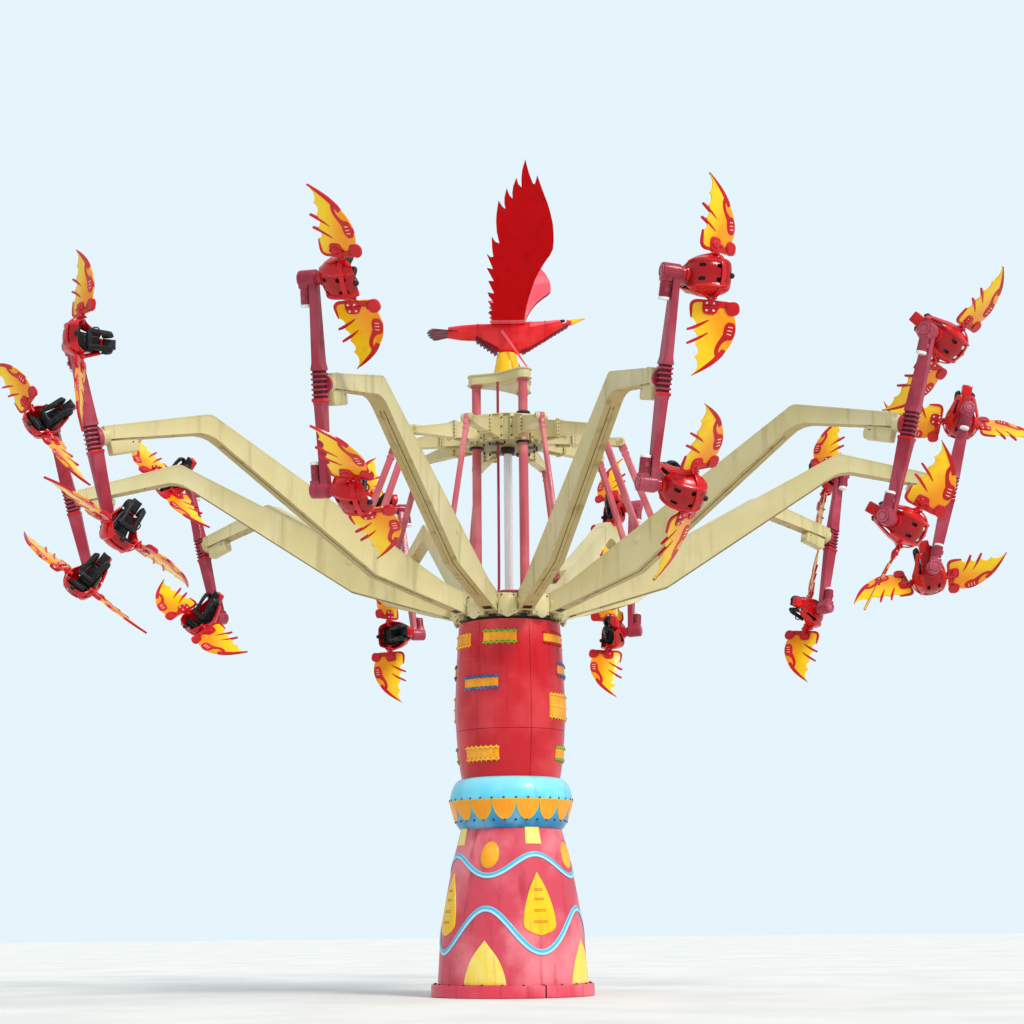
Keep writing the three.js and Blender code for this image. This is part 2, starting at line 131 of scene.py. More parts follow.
class Finish:
    """A node-based material with one shader and places read in the ride's own frame."""

    def __init__(self, name, color, roughness, metallic=0.0, coat=0.0, shine=0.24):
        self.material = bpy.data.materials.new(name)
        self.material.use_nodes = True
        self.tree = self.material.node_tree
        self.shader = self.tree.nodes["Principled BSDF"]
        self.place = self.node("TexCoord", {}, {}, "Object")
        self.feed("Base Color", color)
        self.feed("Roughness", roughness)
        self.feed("Metallic", metallic)
        self.feed("Coat Weight", coat)
        self.feed("Specular IOR Level", shine)

    def node(self, kind, settings, inputs, output=0):
        made = self.tree.nodes.new("ShaderNode" + kind)
        for key, value in settings.items():
            if key == "stops":
                stops = made.color_ramp.elements
                while len(stops) < len(value):
                    stops.new(1)
                for stop, (position, color) in zip(stops, value):
                    stop.position = position
                    stop.color = color
            else:
                setattr(made, key, value)
        for key, value in inputs.items():
            if isinstance(value, Field):
                self.tree.links.new(value.socket, made.inputs[key])
            else:
                made.inputs[key].default_value = value
        return Field(self, made.outputs[output])

    def feed(self, socket, value):
        if isinstance(value, Field):
            self.tree.links.new(value.socket, self.shader.inputs[socket])
        else:
            self.shader.inputs[socket].default_value = value

    def mix(self, amount, first, second):
        return self.node("Mix", {"data_type": "RGBA"}, {0: amount, 6: first, 7: second}, 2)

    def noise(self, scale, stretch=(1, 1, 1), detail=4):
        spread = self.node("Mapping", {}, {"Vector": self.place, "Scale": stretch})
        return self.node("TexNoise", {}, {"Vector": spread, "Scale": scale, "Detail": detail})

    def between(self, value, low, high):
        settings = {"interpolation_type": "SMOOTHSTEP"}
        return self.node("MapRange", settings, {"Value": value, "From Min": low, "From Max": high})

    def relief(self, height, depth, strength=0.4):
        inputs = {"Strength": strength, "Distance": depth, "Height": height}
        self.feed("Normal", self.node("Bump", {}, inputs))


def weathered(
    name, color, faded, stained, roughness, fading=0.5, staining=0.4, metallic=0.0, coat=0.0, grain=1.0,
    shine=0.24,
):
    """Outdoor paint: cloudy fading, rain streaks that run down, a dull film and a fine orange-peel skin."""
    color, faded, stained = (paint(*tone) for tone in (color, faded, stained))
    finish = Finish(name, color, roughness, metallic, coat, shine)
    clouds = finish.between(finish.noise(0.9 * grain), 0.42, 0.66)
    streaks = finish.between(finish.noise(5.5 * grain, (1, 1, 0.09), 6), 0.53, 0.72)
    specks = finish.between(finish.noise(38 * grain, (1, 1, 0.5), 2), 0.62, 0.74)
    worn = finish.mix(clouds * fading, color, faded)
    marked = finish.mix(streaks * staining, worn, stained)
    finish.feed("Base Color", finish.mix(specks * (0.35 * staining), marked, stained))
    finish.feed("Roughness", clouds * 0.12 + streaks * 0.1 + (roughness - 0.06))
    finish.relief(finish.noise(160, (1, 1, 1), 2), 0.0015, 0.25)
    return finish.material


floor_disc = bmesh.new()
bmesh.ops.create_circle(floor_disc, cap_ends=True, segments=FLOOR_SIDES, radius=FLOOR_RADIUS)
bmesh.ops.translate(floor_disc, verts=floor_disc.verts, vec=(0, 0, -FLOOR_DROP))
floor = bpy.data.objects.new("floor", bpy.data.meshes.new("floor"))
floor_disc.to_mesh(floor.data)
floor_disc.free()

floor_finish = Finish("pale_floor", paint(236, 236, 232), 0.85)
floor_tone = floor_finish.between(floor_finish.noise(0.35), 0.35, 0.7)
floor_finish.feed("Base Color", floor_finish.mix(floor_tone, paint(238, 238, 234), paint(228, 228, 224)))
floor.data.materials.append(floor_finish.material)
bpy.context.collection.objects.link(floor)

# Foot flange. A welded steel ring in halves that carries the whole tower and is bolted to its footing, with
# a rounded rim, a dark joint between the halves and a circle of hexagon bolts on its upper face.
FLANGE_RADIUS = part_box("foot_flange")[1].x
FLANGE_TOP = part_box("foot_flange")[1].z
FLANGE_INNER = 1.44
FLANGE_BOLTS = 24
FLANGE_BOLT_SIZE = 0.026
FLANGE_JOINT = math.radians(23)
CLADDING_FOOT = 1.482
RIM_ROUND = 0.02
TURN = 2 * math.pi


def lathe(profile, steps=144, start=0.0, sweep=TURN, closed=False):
    """A profile of radius and height turned about the tower's axis. An azimuth of 0 is the front."""
    mesh = bmesh.new()
    aim = Matrix.Rotation(start - math.pi / 2, 3, "Z")
    points = [mesh.verts.new(aim @ Vector((radius, 0, height))) for radius, height in profile]
    ends = points[1:] + points[:1] if closed else points[1:]
    lines = [mesh.edges.new(pair) for pair in zip(points, ends)]
    whole = sweep >= TURN - 1e-6
    bmesh.ops.spin(
        mesh, geom=points + lines, cent=(0, 0, 0), axis=(0, 0, 1), angle=sweep, steps=steps, use_merge=whole
    )
    bmesh.ops.remove_doubles(mesh, verts=mesh.verts, dist=1e-5)
    if not whole:
        bmesh.ops.holes_fill(mesh, edges=[e for e in mesh.edges if e.is_boundary])
    bmesh.ops.recalc_face_normals(mesh, faces=mesh.faces)
    return mesh


def flowing(points, steps=6):
    """A smooth curve through the given points."""
    ends = [points[0], *points, points[-1]]
    curve = []
    for a, b, c, d in zip(ends, ends[1:], ends[2:], ends[3:]):
        for k in range(steps):
            t = k / steps
            curve.append(tuple(
                q + 0.5 * t * (r - p + t * (2 * p - 5 * q + 4 * r - s + t * (3 * q - p - 3 * r + s)))
                for p, q, r, s in zip(a, b, c, d)
            ))
    return [*curve, tuple(points[-1])]


def evaluated(holder):
    """The mesh of an object with its modifiers applied."""
    return bpy.data.meshes.new_from_object(holder.evaluated_get(bpy.context.evaluated_depsgraph_get()))


def held(name, mesh):
    """Puts a bmesh into an object."""
    data = bpy.data.meshes.new(name)
    mesh.to_mesh(data)
    mesh.free()
    made = bpy.data.objects.new(name, data)
    bpy.context.collection.objects.link(made)
    return made


def piece(name, mesh, body, finishes, sharp=38):
    """Turns a bmesh into a finished piece that rides on a body."""
    made = held(name, mesh)
    for finish in finishes:
        made.data.materials.append(finish)
    made.data.polygons.foreach_set("use_smooth", [True] * len(made.data.polygons))
    made.data.set_sharp_from_angle(angle=math.radians(sharp))
    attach(made, body)
    return made


def touching(verts):
    """The faces around some vertices."""
    return {face for vert in verts for face in vert.link_faces}


def tint(faces, finish):
    """Gives faces one of their piece's finishes."""
    for face in faces:
        face.material_index = finish


def rounded(mesh, edges, size, segments=2):
    """Rounds edges off and gives back the new faces."""
    return bmesh.ops.bevel(
        mesh, geom=list(edges), offset=size, segments=segments, affect="EDGES", profile=0.5, material=-1
    )["faces"]


def add_cone(mesh, place, radius, tip, length, sides, finish=0):
    """A bar or a cone along the place's own Z, with its middle there."""
    made = bmesh.ops.create_cone(
        mesh, cap_ends=True, segments=sides, radius1=radius, radius2=tip, depth=length, matrix=place
    )
    tint(touching(made["verts"]), finish)


def add_rod(mesh, radius, start, end, sides=16, tip=None, finish=0):
    """A round bar between two points, tapered where tip gives another end radius."""
    start = Vector(start)
    end = Vector(end)
    line = end - start
    place = Matrix.Translation((start + end) / 2) @ line.to_track_quat("Z", "Y").to_matrix().to_4x4()
    add_cone(mesh, place, radius, radius if tip is None else tip, line.length, sides, finish)


def add_ball(mesh, place, size, sides, levels, finish=0):
    """A ball in a place, squashed to three half sizes."""
    made = bmesh.ops.create_uvsphere(
        mesh, u_segments=sides, v_segments=levels, radius=1, matrix=place @ Matrix.Diagonal((*size, 1))
    )
    tint(touching(made["verts"]), finish)


def add_box(mesh, low, high, soften=0.0, finish=0, place=None):
    """A block between two corners with its edges softened."""
    low = Vector(low)
    high = Vector(high)
    shape = Matrix.Translation((low + high) / 2) @ Matrix.Diagonal((*(high - low), 1))
    made = bmesh.ops.create_cube(mesh, size=1, matrix=shape)["verts"]
    faces = touching(made)
    tint(faces, finish)
    if soften:
        new_faces = rounded(mesh, {edge for face in faces for edge in face.edges}, soften)
        made = list({vert for face in new_faces for vert in face.verts})
    if place is not None:
        bmesh.ops.transform(mesh, matrix=place, verts=made)


def add_bolt(mesh, place, size, finish=0):
    """A hexagon head on a washer, standing on the place's own Z."""
    for radius, low, high, sides in ((size * 1.25, 0, size * 0.2, 10), (size, size * 0.2, size * 0.9, 6)):
        middle = place @ Matrix.Translation((0, 0, (low + high) / 2))
        add_cone(mesh, middle, radius, radius * 0.94, high - low, sides, finish)


def arc(centre, radius, start, step, count):
    """Points on an arc, from a start angle in degrees by equal steps."""
    turns = [math.radians(start + step * n) for n in range(count)]
    return [(centre[0] + radius * math.cos(turn), centre[1] + radius * math.sin(turn)) for turn in turns]


def add_bolt_circle(mesh, place, radius, count, size, finish, shift=0.5):
    """A circle of bolts in a place's own X and Y, the first one a share of a step past X."""
    for x, y in arc((0, 0), radius, shift * 360 / count, 360 / count, count):
        add_bolt(mesh, place @ Matrix.Translation((x, y, 0)), size, finish)


def turned(spot, axis, quarters=1):
    """A frame at a spot, turned about an axis by quarter turns."""
    return Matrix.Translation(spot) @ Matrix.Rotation(quarters * math.pi / 2, 4, axis)


def around(azimuth, radius, height):
    """A frame at an azimuth from the front: X along the surface, Y inward and Z up."""
    spot = Vector((math.sin(azimuth) * radius, -math.cos(azimuth) * radius, height))
    return Matrix.Translation(spot) @ Matrix.Rotation(azimuth, 4, "Z")


FLANGE_RED = weathered(
    "flange_paint", (222, 66, 88), (238, 124, 138), (140, 28, 52), 0.38, fading=0.6, coat=0.1
)
BOLT_STEEL = weathered("bolt_steel", (96, 34, 42), (150, 92, 84), (58, 26, 22), 0.5, metallic=0.3, grain=6)
JOINT_DARK = weathered("joint_shadow", (58, 14, 26), (70, 24, 34), (30, 10, 14), 0.8, grain=4)

flange = lathe([
    (0.0, 0.0), (FLANGE_RADIUS - RIM_ROUND, 0.0), (FLANGE_RADIUS, RIM_ROUND),
    (FLANGE_RADIUS, FLANGE_TOP - RIM_ROUND), (FLANGE_RADIUS - 0.3 * RIM_ROUND, FLANGE_TOP - 0.3 * RIM_ROUND),
    (FLANGE_RADIUS - RIM_ROUND, FLANGE_TOP), (FLANGE_INNER, FLANGE_TOP), (0.0, FLANGE_TOP),
])
for k in range(FLANGE_BOLTS):
    spot = around(TURN * (k + 0.5) / FLANGE_BOLTS, (FLANGE_RADIUS + CLADDING_FOOT) / 2, FLANGE_TOP)
    add_bolt(flange, spot, FLANGE_BOLT_SIZE, 1)
for turn in (FLANGE_JOINT, FLANGE_JOINT + math.pi):
    spot = around(turn, FLANGE_RADIUS, FLANGE_TOP / 2)
    joint_low = (-0.014, -0.006, -FLANGE_TOP / 2 + 0.012)
    joint_high = (0.014, 0.16, FLANGE_TOP / 2 + 0.004)
    add_box(flange, joint_low, joint_high, 0.003, 2, spot)
made = piece("foot_flange_ring", flange, "base", [FLANGE_RED, BOLT_STEEL, JOINT_DARK])
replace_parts(made, "foot_flange")

# Pedestal. Flared glass-fibre cladding over the steel foot, faded to pink and streaked by rain. Moulded
# ornaments are glued on it four times round: squares, ovals, two wavy ribbons, long drops with slots, and
# arches at the foot.
PEDESTAL_FORM = flowing([
    (CLADDING_FOOT, 0.2363), (1.434, 1.05), (1.33, 1.8), (1.175, 2.594), (1.015, 3.228),
], 8)
ORNAMENT_TURN = math.radians(23)
RELIEF = 0.022
RELIEF_SINK = 0.004


def radius_on(form, height):
    """The radius of a turned form at a height."""
    for (r1, z1), (r2, z2) in zip(form, form[1:]):
        if z1 <= height <= z2:
            return r1 + (r2 - r1) * (height - z1) / max(z2 - z1, 1e-6)
    return form[0][0] if height < form[0][1] else form[-1][0]


def add_slab(mesh, points, push, finish=0):
    """Pushes a flat outline out into a solid. Gives its near and far faces and its two rings of vertices."""
    ring = [mesh.verts.new(point) for point in points]
    near = mesh.faces.new(ring)
    made = bmesh.ops.extrude_face_region(mesh, geom=[near])["geom"]
    moved = [item for item in made if isinstance(item, bmesh.types.BMVert)]
    far = next(item for item in made if isinstance(item, bmesh.types.BMFace))
    bmesh.ops.translate(mesh, verts=moved, vec=push)
    faces = touching(ring + moved)
    tint(faces, finish)
    bmesh.ops.recalc_face_normals(mesh, faces=list(faces))
    return near, far, ring, moved


def corners(mesh, verts, angle):
    """The edges between some vertices where two faces meet at more than an angle."""
    inside = set(verts)
    edges = [e for e in mesh.edges if inside.issuperset(e.verts) and len(e.link_faces) == 2]
    return [e for e in edges if e.calc_face_angle(0) > angle]


def plate(outline, thickness, soften=0.0, finish=0, rim=0.0, rim_finish=0):
    """A flat relief in X and Z, with its back on Y = 0 and its face toward -Y."""
    mesh = bmesh.new()
    _, face, _, lip = add_slab(mesh, [(x, 0, z) for x, z in outline], (0, -thickness, 0), finish)
    if rim:
        edge = bmesh.ops.inset_region(mesh, faces=[face], thickness=rim, use_even_offset=True)
        tint(edge["faces"], rim_finish)
    if soften:
        rounded(mesh, corners(mesh, lip, 0.5), soften)
    return mesh


def both_sides(half, sink=0.0):
    """An outline made from its right half, lowered by a given height."""
    left = [(-x, z) for x, z in reversed(half) if x > 1e-9]
    return [(x, z - sink) for x, z in [*half, *left]]


def sliced(mesh, step):
    """Cuts a flat relief into cells so that it can follow a curved surface."""
    for axis in (Vector((1, 0, 0)), Vector((0, 0, 1))):
        spans = [vert.co.dot(axis) for vert in mesh.verts]
        cuts = int((max(spans) - min(spans)) / step)
        for k in range(1, cuts + 1):
            level = min(spans) + (max(spans) - min(spans)) * k / (cuts + 1)
            geom = [*mesh.verts, *mesh.edges, *mesh.faces]
            bmesh.ops.bisect_plane(mesh, geom=geom, dist=1e-5, plane_co=axis * level, plane_no=axis)
    return mesh


def wrapped(mesh, form, azimuth, height, step=0.07):
    """Bends a flat relief round a turned form, with its middle at an azimuth and a height."""
    sliced(mesh, step)
    at = radius_on(form, height)
    for vert in mesh.verts:
        z = vert.co.z + height
        angle = azimuth + vert.co.x / at
        radius = radius_on(form, z) - vert.co.y - RELIEF_SINK
        vert.co = Vector((math.sin(angle) * radius, -math.cos(angle) * radius, z))
    bmesh.ops.recalc_face_normals(mesh, faces=mesh.faces)
    return mesh


def gathered(meshes):
    """Several bmeshes in one."""
    whole = bmesh.new()
    for mesh in meshes:
        data = bpy.data.meshes.new("part")
        mesh.to_mesh(data)
        whole.from_mesh(data)
        bpy.data.meshes.remove(data)
        mesh.free()
    return whole


def ribbon(form, middle, swing, turns, width, steps=220):
    """A wavy band round a form: a rounded strip that follows a cosine, highest at the ornaments' turn."""
    mesh = bmesh.new()
    section = [(-1, 0), (-0.96, 0.5), (-0.8, 0.9), (-0.45, 1.0), (0.45, 1.0), (0.8, 0.9), (0.96, 0.5), (1, 0)]
    shade = mesh.verts.layers.float.new("across")
    rings = []
    for k in range(steps):
        azimuth = ORNAMENT_TURN + TURN * k / steps
        wave = math.cos(turns * (azimuth - ORNAMENT_TURN))
        slope = -swing * turns * math.sin(turns * (azimuth - ORNAMENT_TURN)) / radius_on(form, middle)
        lean = math.hypot(1, slope)
        ring = []
        for across, out in section:
            z = middle + swing * wave + across * width / 2 / lean
            angle = azimuth - across * width / 2 * slope / lean / radius_on(form, z)
            radius = radius_on(form, z) + RELIEF * out - RELIEF_SINK
            vert = mesh.verts.new((math.sin(angle) * radius, -math.cos(angle) * radius, z))
            vert[shade] = across
            ring.append(vert)
        rings.append(ring)
    for one, two in zip(rings, rings[1:] + rings[:1]):
        for a, b, c, d in zip(one, two, two[1:], one[1:]):
            mesh.faces.new((a, b, c, d))
        mesh.faces.new((one[0], one[-1], two[-1], two[0]))
    bmesh.ops.recalc_face_normals(mesh, faces=mesh.faces)
    return mesh


PEDESTAL_RED = weathered(
    "pedestal_paint", (212, 74, 92), (242, 138, 148), (170, 36, 56), 0.42, fading=0.95, staining=0.6,
    coat=0.1, grain=0.8,
)
RELIEF_YELLOW = weathered(
    "relief_yellow", (252, 200, 22), (252, 216, 92), (222, 140, 20), 0.4, fading=0.5, grain=1.5, coat=0.1
)
RELIEF_PALE = weathered(
    "relief_pale_yellow", (250, 222, 92), (252, 238, 150), (226, 170, 60), 0.45, fading=0.7, grain=2
)
RELIEF_ORANGE = weathered(
    "relief_orange", (250, 168, 30), (252, 206, 90), (214, 112, 16), 0.38, fading=0.6, grain=2, coat=0.1
)
# Brown painted as the shade inside the drops' slots.
SLOT_PAINTED_SHADE = weathered("slot_painted_shade", (206, 110, 20), (190, 90, 20), (110, 50, 16), 0.6, grain=5)


def ribbon_finish():
    """Cyan along the middle, white at the lit edge and a dark purple line outside."""
    finish = Finish("wave_ribbon", paint(80, 205, 235), 0.35, coat=0.15)
    across = finish.node("Attribute", {"attribute_name": "across"}, {}, "Fac")
    level = (across + 1) * 0.5
    stops = [
        (0.0, paint(84, 40, 96)), (0.1, paint(150, 190, 220)), (0.3, paint(214, 240, 248)),
        (0.5, paint(70, 200, 232)), (0.84, paint(66, 176, 220)), (0.93, paint(190, 226, 240)),
        (1.0, paint(96, 50, 104)),
    ]
    color = finish.node("ValToRGB", {"stops": stops}, {"Fac": level})
    grime = finish.between(finish.noise(7, (1, 1, 0.4)), 0.55, 0.75)
    finish.feed("Base Color", finish.mix(grime * 0.35, color, paint(150, 170, 180)))
    finish.relief(finish.noise(90), 0.002)
    return finish.material


RIBBON_CYAN = ribbon_finish()

pedestal = lathe([(0.0, PEDESTAL_FORM[0][1]), *PEDESTAL_FORM, (0.0, PEDESTAL_FORM[-1][1])])
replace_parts(piece("pedestal_shell", pedestal, "base", [PEDESTAL_RED]), "pedestal_cladding")
for name, middle, swing, width in (
    ("upper_wave_ribbon", 2.515, 0.205, 0.115), ("lower_wave_ribbon", 1.265, -0.415, 0.125),
):
    piece(name, ribbon(PEDESTAL_FORM, middle, swing, 4, width), "base", [RIBBON_CYAN])

DROP_MIDDLE = 1.7
ARCH_MIDDLE = 0.6
OVAL_MIDDLE = 2.71
SQUARE_MIDDLE = 3.09
DROP_SIDE = flowing([
    (0.0, 1.166), (0.20, 1.235), (0.315, 1.33), (0.325, 1.45), (0.292, 1.70), (0.18, 2.05), (0.0, 2.377),
], 4)
ARCH_SIDE = flowing([(0.44, 0.245), (0.40, 0.45), (0.27, 0.75), (0.0, 1.08)], 4)
ornaments = []
for k in range(4):
    turn = ORNAMENT_TURN + k * TURN / 4
    drop = plate(both_sides(DROP_SIDE, DROP_MIDDLE), RELIEF, 0.006, 0)
    ornaments.append(wrapped(drop, PEDESTAL_FORM, turn, DROP_MIDDLE))
    # The slots are brown bars on the drop, painted as the shade in them.
    for height, width in ((2.036, 0.18), (1.856, 0.20), (1.64, 0.24), (1.43, 0.28)):
        for lift in (-0.014, 0.014):
            slot = bmesh.new()
            low = (-width / 2, -RELIEF - RELIEF_SINK, lift - 0.007)
            high = (width / 2, RELIEF_SINK, lift + 0.007)
            add_box(slot, low, high, 0.002, 3)
            ornaments.append(wrapped(slot, PEDESTAL_FORM, turn, height))
    square = plate([(-0.158, -0.17), (0.158, -0.17), (0.152, 0.175), (-0.152, 0.175)], RELIEF, 0.008, 1)
    ornaments.append(wrapped(square, PEDESTAL_FORM, turn, SQUARE_MIDDLE))
    arch = plate(both_sides(ARCH_SIDE, ARCH_MIDDLE), RELIEF, 0.006, 1)
    ornaments.append(wrapped(arch, PEDESTAL_FORM, turn + TURN / 8, ARCH_MIDDLE))
    oval = bmesh.new()
    add_ball(oval, Matrix.Rotation(math.radians(9), 4, "Y"), (0.195, 0.062, 0.262), 32, 20, 2)
    ornaments.append(wrapped(oval, PEDESTAL_FORM, turn - TURN / 8, OVAL_MIDDLE, 0.5))
piece(
    "pedestal_ornaments", gathered(ornaments), "base",
    [RELIEF_YELLOW, RELIEF_PALE, RELIEF_ORANGE, SLOT_PAINTED_SHADE],
)

# Belt. A moulded ring between pedestal and drum: a cyan shoulder, a band shaded from cyan to blue, and
# sixteen orange petals with yellow-green edges. Round studs sit in two rows, maroon above and maroon and
# navy below.
BELT_FORM = flowing([
    (1.010, 3.2283), (1.062, 3.275), (1.112, 3.366), (1.180, 3.58), (1.232, 3.76), (1.238, 3.80),
    (1.230, 3.86), (1.200, 4.0), (1.150, 4.12), (1.085, 4.20), (1.000, 4.243),
], 5)
PETALS = 16
PETAL_TURN = math.radians(4.5)
PETAL_TOP = 3.795
PETAL_TIP = 3.385
LOW_STUDS = 3.39
HIGH_STUDS = 3.812


def belt_finish():
    finish = Finish("belt_paint", paint(90, 208, 240), 0.32, coat=0.2)
    height = finish.node("SeparateXYZ", {}, {"Vector": finish.place}, "Z")
    level = finish.node("MapRange", {}, {"Value": height, "From Min": 3.22, "From Max": 4.25})
    stops = [
        (0.0, paint(40, 118, 168)), (0.12, paint(44, 134, 186)), (0.3, paint(62, 160, 204)),
        (0.52, paint(88, 190, 216)), (0.58, paint(86, 208, 240)), (1.0, paint(150, 232, 250)),
    ]
    color = finish.node("ValToRGB", {"stops": stops}, {"Fac": level})
    clouds = finish.between(finish.noise(2.2), 0.4, 0.7)
    streaks = finish.between(finish.noise(7, (1, 1, 0.12), 6), 0.56, 0.72)
    faded = finish.mix(clouds * 0.35, color, paint(170, 238, 252))
    finish.feed("Base Color", finish.mix(streaks * 0.3, faded, paint(60, 150, 190)))
    finish.feed("Roughness", clouds * 0.15 + 0.26)
    finish.relief(finish.noise(120), 0.002, 0.25)
    return finish.material


PETAL_ORANGE = weathered(
    "petal_orange", (252, 160, 26), (253, 180, 50), (232, 116, 14), 0.35, fading=0.5, grain=2, coat=0.15
)
PETAL_EDGE = weathered(
    "petal_edge", (206, 204, 66), (222, 216, 110), (160, 160, 60), 0.45, fading=0.5, grain=4
)
STUD_MAROON = weathered("stud_maroon", (128, 16, 30), (150, 40, 44), (70, 10, 18), 0.35, grain=5)
STUD_NAVY = weathered("stud_navy", (34, 30, 92), (50, 56, 120), (16, 14, 46), 0.35, grain=5)

belt = lathe([(0.0, BELT_FORM[0][1]), *BELT_FORM, (0.0, BELT_FORM[-1][1])])
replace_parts(piece("belt_shell", belt, "base", [belt_finish()]), "belt_ring")

petal_half = math.pi / PETALS * radius_on(BELT_FORM, PETAL_TOP)
petal_side = []
for k in range(13):
    share = k / 12
    petal_side.append((petal_half * 0.985 * (1 - share ** 2.6) ** 0.62, (PETAL_TIP - PETAL_TOP) * share))
relief = []
studs = bmesh.new()
for k in range(PETALS):
    turn = PETAL_TURN + (k + 0.5) * TURN / PETALS
    petal = plate(both_sides(petal_side), 0.014, 0.0, 0, 0.011, 1)
    relief.append(wrapped(petal, BELT_FORM, turn, PETAL_TOP, 0.05))
    for share, height, shade in (
        (0, LOW_STUDS, 2), (0.5, LOW_STUDS, 3), (0, HIGH_STUDS, 2), (0.5, HIGH_STUDS, 2),
    ):
        spot = around(turn + share * TURN / PETALS, radius_on(BELT_FORM, height), height)
        add_ball(studs, spot, (0.024, 0.020, 0.024), 14, 8, shade)
piece(
    "belt_petals_and_studs", gathered([*relief, studs]), "base",
    [PETAL_ORANGE, PETAL_EDGE, STUD_MAROON, STUD_NAVY],
)


# Drum. Barrel-shaped cladding in eight curved panels, four round and two high, set over a dark steel core
# so that the joints show as thin lines. A service hatch with a cover strip is on the left, and striped tags
# are glued on.
DRUM_FORM = flowing([
    (0.995, 4.2433), (1.030, 4.45), (1.060, 4.70), (1.101, 5.185), (1.117, 5.703), (1.090, 6.50),
    (1.038, 7.374),
], 6)
DRUM_BOTTOM = DRUM_FORM[0][1]
DRUM_TOP = DRUM_FORM[-1][1]
DRUM_JOINT = 5.185
RAM_WELL = 0.17
WELL_FLOOR = 4.4
SEAM_TURN = math.radians(22)
JOINT_HALF = 0.0045
PANEL_DEPTH = 0.02
RIDGE_PITCH = 0.13
TOOTH_PITCH = 0.105

DRUM_RED = weathered(
    "drum_paint", (198, 20, 34), (226, 76, 80), (146, 12, 26), 0.3, fading=0.8, staining=0.35, coat=0.2,
    grain=0.7,
)


def panel(low, high, start, sweep):
    """A curved panel with softened edges between two heights and two azimuths."""
    levels = [low + (high - low) * k / 24 for k in range(25)]
    face = [(radius_on(DRUM_FORM, z), z) for z in levels]
    face[0] = (face[0][0] - 0.004, face[0][1])
    face[-1] = (face[-1][0] - 0.004, face[-1][1])
    back = [(r - PANEL_DEPTH, z) for r, z in (face[-1], face[0])]
    return lathe([*face, *back], 48, start, sweep, True)


drum = []
seam = JOINT_HALF / 1.08
for k in range(4):
    start = SEAM_TURN + k * TURN / 4 + seam
    drum.append(panel(DRUM_BOTTOM, DRUM_JOINT - JOINT_HALF, start, TURN / 4 - 2 * seam))
    drum.append(panel(DRUM_JOINT + JOINT_HALF, DRUM_TOP, start, TURN / 4 - 2 * seam))
piece("drum_panels", gathered(drum), "base", [DRUM_RED])
core_form = [(r - PANEL_DEPTH - 0.001, z) for r, z in DRUM_FORM]
core = lathe([
    (0.0, DRUM_BOTTOM), *core_form, (RAM_WELL, DRUM_TOP), (RAM_WELL, WELL_FLOOR), (0.0, WELL_FLOOR),
])
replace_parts(piece("drum_core", core, "base", [JOINT_DARK]), "drum_cladding")

hatch_parts = []
for left, right, low, high, thickness in (
    (-76.5, -38.2, 6.555, 7.3, 0.010), (-38.2, -35.4, 6.53, 7.33, 0.014),
):
    half = math.radians(right - left) / 2 * 1.08
    rise = (high - low) / 2
    cover = plate([(-half, -rise), (half, -rise), (half, rise), (-half, rise)], thickness, 0.003)
    hatch_parts.append(wrapped(cover, DRUM_FORM, math.radians((left + right) / 2), (low + high) / 2, 0.08))
screws = bmesh.new()
for height in (6.62, 6.93, 7.24):
    for azimuth in (-74, -40.5):
        spot = around(math.radians(azimuth), radius_on(DRUM_FORM, height) + 0.006, height)
        add_bolt(screws, spot @ Matrix.Rotation(math.pi / 2, 4, "X"), 0.009, 1)
piece("service_hatch", gathered([*hatch_parts, screws]), "base", [DRUM_RED, BOLT_STEEL])


def tag(azimuth, height, width, rise, rails, rows):
    """A moulded orange strip with upright ridges between toothed rails and painted shadow between the teeth.
    """
    half = width / 2
    edge = rise / 2 - 0.03
    band = plate([(-half, -edge), (half, -edge), (half, edge), (-half, edge)], 0.02, 0.005)
    ridges = round(width / RIDGE_PITCH)
    teeth = round(width / TOOTH_PITCH)
    levels = [-edge + 2 * edge * k / rows for k in range(rows + 1)]
    for low, high in zip(levels, levels[1:]):
        for k in range(ridges):
            spot = Matrix.Translation((-half + width * (k + 0.5) / ridges, -0.016, (low + high) / 2))
            add_ball(band, spot, (width / ridges * 0.44, 0.009, (high - low) * 0.46), 12, 8)
    for k, level in enumerate(levels):
        add_rod(band, 0.022, (-half - 0.008, -0.018, level), (half + 0.008, -0.018, level), 10, None, rails)
        if 0 < k < rows:
            continue
        side = -1 if k == 0 else 1
        # Small dark cones between the teeth are painted shadow.
        shadow_level = level - side * 0.012
        for n in range(teeth):
            x = -half + width * (n + 0.5) / teeth
            point = (x + 0.012, -0.016, level + side * 0.05)
            add_rod(band, 0.026, (x, -0.016, level), point, 8, 0.006, rails)
            add_rod(band, 0.013, (x, -0.034, shadow_level), (x, -0.045, shadow_level), 6, 0.004, 5)
    return wrapped(band, DRUM_FORM, math.radians(azimuth), height, 0.09)


TAG_ORANGE = weathered(
    "tag_orange", (252, 158, 22), (253, 190, 60), (226, 104, 14), 0.38, fading=0.6, grain=3, coat=0.1
)
TAG_GREEN = weathered("tag_green", (120, 178, 40), (170, 204, 90), (60, 110, 24), 0.4, grain=5)
TAG_BLUE = weathered("tag_blue", (52, 96, 168), (110, 150, 196), (22, 44, 90), 0.4, grain=5)
TAG_RED = weathered("tag_red", (196, 22, 24), (216, 60, 50), (110, 12, 14), 0.4, grain=5)
TAG_YELLOW = weathered("tag_yellow", (252, 190, 40), (253, 214, 90), (226, 140, 20), 0.4, grain=5)
# Dark red-brown painted as the shadows between the rails' teeth.
TAG_SHADOW = weathered("tag_painted_shadow", (60, 20, 20), (70, 30, 24), (30, 10, 10), 0.8, grain=8)

